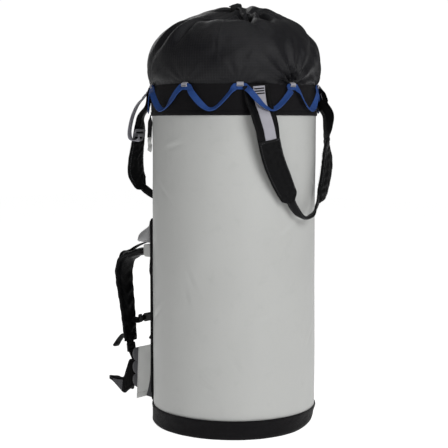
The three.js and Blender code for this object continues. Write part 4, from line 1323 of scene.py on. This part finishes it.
def add_shoulder_straps():
    rows, columns = 110, 21
    bend = ("root", "shoulder_straps", (0, 0.240, 0.4465), (0, 0.262, 0.440))
    taper = lambda v: smooth((v - 0.18) / 0.82)
    thick = lambda v: (lerp(0.0170, 0.0145, taper(v)) * lerp(0.5, 1, smooth(v / 0.05))
                       * lerp(0.6, 1, smooth((1 - v) / 0.05)))
    for hand, sign in HANDS:
        x = sign * STRAP_X
        crinkle = lambda v, s: (0.0011 * math.sin(v * 62 + 1.7 * math.sin(4 * s + 2 * sign))
                                * (0.35 + 0.65 * s * s))
        pad = Ribbon(in_profile(x, SHOULDER_PATH), lambda v: lerp(0.067, 0.046, taper(v)), thick, -X_AXIS,
                     rows=rows, columns=columns, power=7, lift=crinkle,
                     full=lambda v, s: 1 - 0.20 * hump(abs(s) - 0.80, 0.07))
        made = pad.mesh(f"shoulder_strap_{hand}_cover")
        puff(made, 2.0, 0.003, sewn_rim(rows, columns), shrink=-0.015)
        outfit(made, "sleeve", "padded_black_fabric", bend, f"shoulder_strap_{hand}")
        face = 1 if pad.normal[60][1] > 0 else -1
        line = [pad.centre[i] + pad.normal[i] * face * 0.0079 for i in range(30, 106, 5)]
        band = strap(f"shoulder_band_{hand}", "shoulder_straps", line, 0.024, 0.0016, -X_AXIS, rows=70, columns=9,
                     power=10)
        runs = [band.run(s, face, 0.0, 1.0, 0.0003) for s in (-0.8, 0.8)]
        stitches(f"shoulder_band_{hand}_stitching", runs, "thread_grey", "black_webbing", "shoulder_straps")
        for edge, s in (("inner", -0.985), ("outer", 0.985)):
            line = [pad.centre[i] + pad.side[i] * s * pad.width[i] / 2 for i in range(2, rows, 4)]
            strap(f"shoulder_binding_{hand}_{edge}", bend, line, 0.0034, 0.0062, -X_AXIS, rows=90, columns=6,
                  power=3)
        add_adjuster("load_lifter", hand, x, LIFTER_PATH, LIFTER_TAIL)
        add_adjuster("lower", hand, x, LOWER_PATH, LOWER_TAIL)


def add_adjuster(kind, hand, x, path, tail):
    """A webbing from the pack to its ladder lock, and the loose tail past the lock."""
    flat = {"columns": 9, "power": 10}
    node = f"{kind}_webbing_{hand}"
    strap(f"{node}_tape", ("root", "shoulder_straps", *ADJUSTER_BENDS[kind]), in_profile(x, path), 0.0235, 0.0019,
          -X_AXIS, node, rows=56, **flat)
    sway = (0.006 if kind == "lower" else 0.002) * (-1 if hand == "left" else 1)
    near = tail[0][0]
    body = (f"{kind}_lock_{hand}", "shoulder_straps", (0, near + 0.002, 0), (0, near + 0.018, 0))
    line = [(x + sway * k / len(tail), y, z) for k, (y, z) in enumerate(tail)]
    loose = strap(f"{kind}_tail_{hand}", body, line, 0.0230, 0.0019, -X_AXIS, rows=44,
                  lift=lambda v, s: 0.0016 * v * s * s + 0.002 * v * s, **flat)
    strap(f"{kind}_tail_hem_{hand}", "shoulder_straps",
          [loose.centre[-6], loose.centre[-4], loose.centre[-1] + loose.normal[-1] * 0.0002], 0.0232, 0.0052,
          -X_AXIS, rows=8, columns=9, power=6)


def add_sternum_strap():
    """Two slack webbings that meet at the buckle, with an elastic keeper on the left one."""
    for hand, sign, body in (("left", -1, "shoulder_straps"), ("right", 1, "sternum_clip")):
        node = f"sternum_webbing_{hand}"
        low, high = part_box(node)
        y, z = (low.y + high.y) / 2, (low.z + high.z) / 2
        near, far = (high.x, low.x) if sign < 0 else (low.x, high.x)
        sag = lambda t: math.sin(math.pi * t)
        path = [(lerp(far, near, t), y - 0.0025 * sag(t), z + 0.003 - 0.007 * sag(t))
                for t in (0, 0.3, 0.7, 1)]
        strap(f"{node}_tape", body, path, 0.0170, 0.0019, Z_AXIS, node, rows=30, columns=9, power=10,
              lift=lambda v, s: 0.0008 * math.sin(9 * v + 2 * s))
        if sign < 0:
            line = [(lerp(far, near, t), y - 0.0005, z) for t in (0.52, 0.62, 0.72)]
            strap("sternum_elastic_keeper", body, line, 0.0235, 0.0062, Z_AXIS, look="dark_grey", rows=8,
                  columns=7, power=6)


# Hip wing stations: distance in and out from the root, lower edge, upper edge and thickness, in mm.
HIP_WING = [(0, 0, 72, 138, 12), (-2, 7, 68, 141, 13), (-4, 15, 62, 140, 13), (-4.5, 26, 54, 112, 12),
            (-4, 37, 45, 86, 10), (-1, 60, 57, 83.5, 8), (2, 82, 69, 83, 6), (3, 98, 76, 82, 5)]
HIP_ROOT_X, HIP_ROOT_Y = -0.102, 0.266


def add_hip_wings():
    stations = np.array(HIP_WING, float) * MM
    rows, columns = 64, 25
    t = np.linspace(0, len(stations) - 1, rows)
    grid = np.stack([np.interp(t, range(len(stations)), stations[:, k]) for k in range(5)], axis=1)
    for _ in range(3):
        grid[1:-1] = (grid[:-2] + 2 * grid[1:-1] + grid[2:]) / 4
    halves, thicks = (grid[:, 3] - grid[:, 2]) / 2, grid[:, 4] / 2
    s_values = np.sin(np.linspace(-1, 1, columns) * math.pi / 2)
    for hand, sign in HANDS:
        body = f"hip_wing_{hand}"
        centre = np.stack([-sign * (HIP_ROOT_X + grid[:, 0]), HIP_ROOT_Y + grid[:, 1],
                           (grid[:, 2] + grid[:, 3]) / 2], axis=1)
        flow = np.gradient(centre, axis=0)
        flow[:, 2] = 0
        normal = np.cross(unit(flow), np.array([0, 0, 1.0])) * sign

        def skin(face):
            """One side of the wing: crowned, with a seam inside its edge and a faint ripple."""
            rows_of_points = []
            for i, (half, thick) in enumerate(zip(halves, thicks)):
                line = []
                for s in s_values:
                    crown = max(1 - abs(s) ** 4, 0) ** 0.5
                    seam = 1 - 0.35 * hump((abs(s) - 0.86) * half, 0.003)
                    ripple = 0.0007 * math.sin(i * 0.9 + 6 * s)
                    line.append(centre[i] + np.array([0, 0, s * half])
                                + normal[i] * (face * thick * max(crown * seam, 0.18) + ripple))
                rows_of_points.append(line)
            return rows_of_points

        uv = [[(s * half, length) for s in s_values] for half, length in zip(halves, travelled(centre))]
        wing = shell(f"{body}_cover", skin(1), skin(-1), uv)
        puff(wing, 1.8, 0.003, sewn_rim(rows, columns))
        outfit(wing, "panel", "padded_black_fabric", body, body)
        # The tip is faced with paler mesh inside its bound edge.
        tip = range(int(rows * 0.58), rows - 3, 2)
        tip_widths = [max(grid[i, 3] - grid[i, 2] - 0.007, 0.003) for i in tip]
        for place, side in (("inner", -1), ("outer", 1)):
            strap(f"hip_wing_facing_{hand}_{place}", body,
                  [centre[i] + normal[i] * side * (thicks[i] + 0.0014) for i in tip],
                  lambda v: float(np.interp(v, np.linspace(0, 1, len(tip)), tip_widths)), 0.0016, Z_AXIS,
                  look="mesh", slot="foam_mesh", rows=26, columns=9, power=8)
        for place, level in (("upper", 3), ("lower", 2)):
            edge = [(centre[i][0], centre[i][1], grid[i, level]) for i in range(2, rows, 4)]
            strap(f"hip_wing_binding_{hand}_{place}", body, edge, 0.0050, lambda v: lerp(0.0085, 0.0060, v),
                  Z_AXIS, rows=60, columns=6, power=3)
        add_hip_webbing(hand, sign, centre, normal, thicks, body)


def add_hip_webbing(hand, sign, centre, normal, thicks, body):
    """Webbing from the wing's tip, folded back inside it to the unclipped buckle."""
    low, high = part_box("hip_buckle_socket" if sign < 0 else "hip_buckle_clip")
    x, y, z = (low.x + high.x) / 2, high.y, (low.z + high.z) / 2
    last = centre[-1]
    line = [centre[i] + normal[i] * (thicks[i] + 0.0022) for i in (-9, -5, -2)]
    line += [last + np.array([0, 0.0030, 0]), last + np.array([-sign * 0.0060, -0.0040, -0.001])]
    line += [(lerp(last[0] - sign * 0.0075, x, t), lerp(last[1] - 0.010, y + 0.002, t), lerp(last[2], z, t))
             for t in (0.35, 0.7, 1.0)]
    strap(f"hip_webbing_{hand}", body, line, lambda v: lerp(0.0095, 0.0235, smooth((v - 0.35) / 0.5)), 0.0020,
          Z_AXIS, rows=60, columns=9, power=10)


def add_side_flaps():
    """Pale flaps that stand out beside the lumbar pad, each with a dark sheet behind its lower corner that is
    painted shade inside the flap.
    """
    inner_edge = [(0.1868, 0.1965), (0.1872, 0.150), (0.1885, 0.108), (0.1950, 0.081), (0.2035, 0.0545)]
    outer_edge = [(0.2300, 0.1858), (0.2325, 0.150), (0.2350, 0.110), (0.2368, 0.075), (0.2380, 0.0425)]
    rows, columns = 40, 22
    for hand, sign in HANDS:
        body, x, out = f"side_flap_{hand}", sign * 0.123, X_AXIS * sign
        inner, outer = (evened(in_profile(x, edge), rows)[0] for edge in (inner_edge, outer_edge))
        front, back, uv = [], [], []
        for i, (p, q) in enumerate(zip(inner, outer)):
            v = i / (rows - 1)
            cells = []
            for k in range(columns):
                u = k / (columns - 1)
                c = Vector(p) + (Vector(q) - Vector(p)) * u
                billow = 0.0038 * math.sin(math.pi * u) * v + 0.0016 * wobble(u * 3, v * 4, 5 * sign)
                hem = 0.0009 * (v > 0.90) + 0.0007 * (u > 0.93)
                cells.append((c + out * billow, 0.0010 + hem))
            front.append([c + out * t for c, t in cells])
            back.append([c - out * t * 0.6 for c, t in cells])
            uv.append([(c.y, c.z) for c, _ in cells])
        flap = outfit(shell(f"{body}_fabric", front, back, uv), "shell", "shell_fabric", body, body)
        lower_hem = [(front[rows - 5][c] + out * 0.0004, out) for c in range(1, columns - 1)]
        outer_hem = [(front[r][columns - 3] + out * 0.0004, out) for r in range(1, rows - 1)]
        stitches(f"{body}_stitching", [lower_hem, outer_hem], "thread_grey", "shell_fabric", body)
        # The dark sheet behind the flap's lower corner is painted shade: it stands in for the shadow inside the
        # flap, not for a gusset of its own.
        front, back, uv = [], [], []
        for i in range(24):
            top = Vector((x - sign * 0.004, 0.1880, lerp(0.150, 0.052, i / 23)))
            low = Vector(inner[14 + i * 25 // 23])
            cells = [top + (low - top) * (k / 7) for k in range(8)]
            front.append([c + out * 0.0006 for c in cells])
            back.append([c - out * 0.0010 for c in cells])
            uv.append([(c.y, c.z) for c in cells])
        outfit(shell(f"{body}_gusset", front, back, uv), "dark_grey", "dark_grey_fabric", body)


def add_tether():
    """A tape that hangs turned half off the wall, with a pale pull at its end."""
    angle, radius = -134, 0.2172

    def hang(top, low):
        return [around(angle + 1.2 * math.sin(3 * k), radius + 0.0010 + 0.03 * (0.806 - z), z)
                for k, z in enumerate(np.linspace(top, low, 5))]

    turned = lambda v: tangent(angle + 34 * smooth(v * 3))
    body = "side_tether"
    tape = strap("side_tether_tape", body, hang(0.8085, 0.749), lambda v: lerp(0.0195, 0.0175, v), 0.0021,
                 turned, body, rows=36, columns=9, power=8, lift=lambda v, s: 0.0016 * v * s * s)
    strap("side_tether_pull", body, hang(0.7515, 0.716), lambda v: lerp(0.0165, 0.0150, v), 0.0028,
          turned(1), "side_tether_tab", look="shell", slot="grey_webbing", rows=22, columns=9, power=6,
          lift=lambda v, s: 0.0012 * math.sin(7 * v))
    bar_tack("side_tether_tack", tape.at(31, 0, 1, 0.0004), Z_AXIS, outward(angle), 0.012, "thread_grey",
             body, depth=0.0026)


# ---- drawcord and hardware ----
def add_drawcord():
    """The cord in the hem, over the CAD cord's own line."""
    shift = smooth((RADIUS - 0.017) / RADIUS)
    origin = Vector((GATHER_X * shift, GATHER_Y * shift, 1.060))
    half, loop, lock_y, end_y, height = 0.0018, 0.0142, 0.021, 0.052, 0.0175
    first = math.asin(half / loop)
    route = [(half, end_y, height), (half, lock_y, height)]
    route += [(loop * math.sin(a), loop * math.cos(a), 0.0026)
              for a in np.linspace(first, 2 * math.pi - first, 15)]
    route += [(-half, lock_y, height), (-half, end_y, height)]
    line, along = evened([leaned(p) + origin for p in route], 150)
    sides, radius = 10, 0.0015
    turns = np.linspace(0, 2 * math.pi, sides, endpoint=False)
    reference = np.array(leaned(Z_AXIS))
    points, corners = [], []
    for p, f in zip(line, heading(line)):
        a = np.cross(f, reference)
        a /= max(np.linalg.norm(a), 1e-6)
        b = np.cross(f, a)
        points += [p + radius * (a * math.cos(w) + b * math.sin(w)) for w in turns]
    faces = [(a, d, c, b) for a, b, c, d in tube_faces(len(line), sides, False)]
    widths = [k * 2 * math.pi * radius / sides for k in range(sides + 1)]
    for t, t2 in zip(along, along[1:]):
        for u, u2 in zip(widths, widths[1:]):
            corners += [(u, t), (u2, t), (u2, t2), (u, t2)]
    last = (len(line) - 1) * sides
    faces += [list(range(sides)), list(range(last + sides - 1, last - 1, -1))]
    corners += [(0, 0)] * (2 * sides)
    outfit(mesh_object("drawcord_braid", points, faces, corners, 60), "cord", "cord", "root", "drawcord")


def finish_hardware():
    """Dresses the hard parts that stay as the CAD made them, and softens their edges."""
    for name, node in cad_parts.items():
        if node.hide_render:
            continue
        node.data.materials.clear()
        # The rear haul lock gets the grey plastic: painted highlight over what is dark plastic.
        node.data.materials.append(MATERIALS["lock_painted_highlight_plastic" if name == "rear_haul_lock" else "plastic"])
        bevel = node.modifiers.new("edges", "BEVEL")
        bevel.width, bevel.segments = 0.0006, 2
        bevel.limit_method, bevel.angle_limit = "ANGLE", math.radians(40)
        node.data.shade_smooth()
        node.data.set_sharp_from_angle(angle=math.radians(50))


def add_studio():
    """A wide pale floor, the white surround and four soft lights."""
    mesh = bpy.data.meshes.new("floor")
    size, count = 16.0, 12
    row = count + 1
    places = [size * (i / count - 0.5) for i in range(row)]
    points = [(x, y, -0.0004) for y in places for x in places]
    faces = [(j * row + i, j * row + i + 1, (j + 1) * row + i + 1, (j + 1) * row + i)
             for j in range(count) for i in range(count)]
    mesh.from_pydata(points, [], faces)
    floor = bpy.data.objects.new("floor", mesh)
    floor.data.materials.append(pale_floor())
    scene.collection.objects.link(floor)
    add_world(1.02, 0.07)
    add_area_light("key", -20, 26, 3.2, 1.8, 58)
    add_area_light("fill", -100, 16, 3.4, 2.2, 0.6)
    add_area_light("top", -40, 76, 2.4, 1.6, 17, (0, 0, 0.9))
    add_area_light("back", 150, 30, 3.2, 2.0, 14)
    scene.view_settings.view_transform = "Standard"


add_tube()
add_base()
add_gathered_hem(add_storm_collar())
add_drawcord()
add_gear_loops()
add_haul_straps()
add_back_panel()
add_yoke_and_lumbar()
add_hood()
add_shoulder_straps()
add_sternum_strap()
add_hip_wings()
add_side_flaps()
add_tether()
finish_hardware()
add_studio()
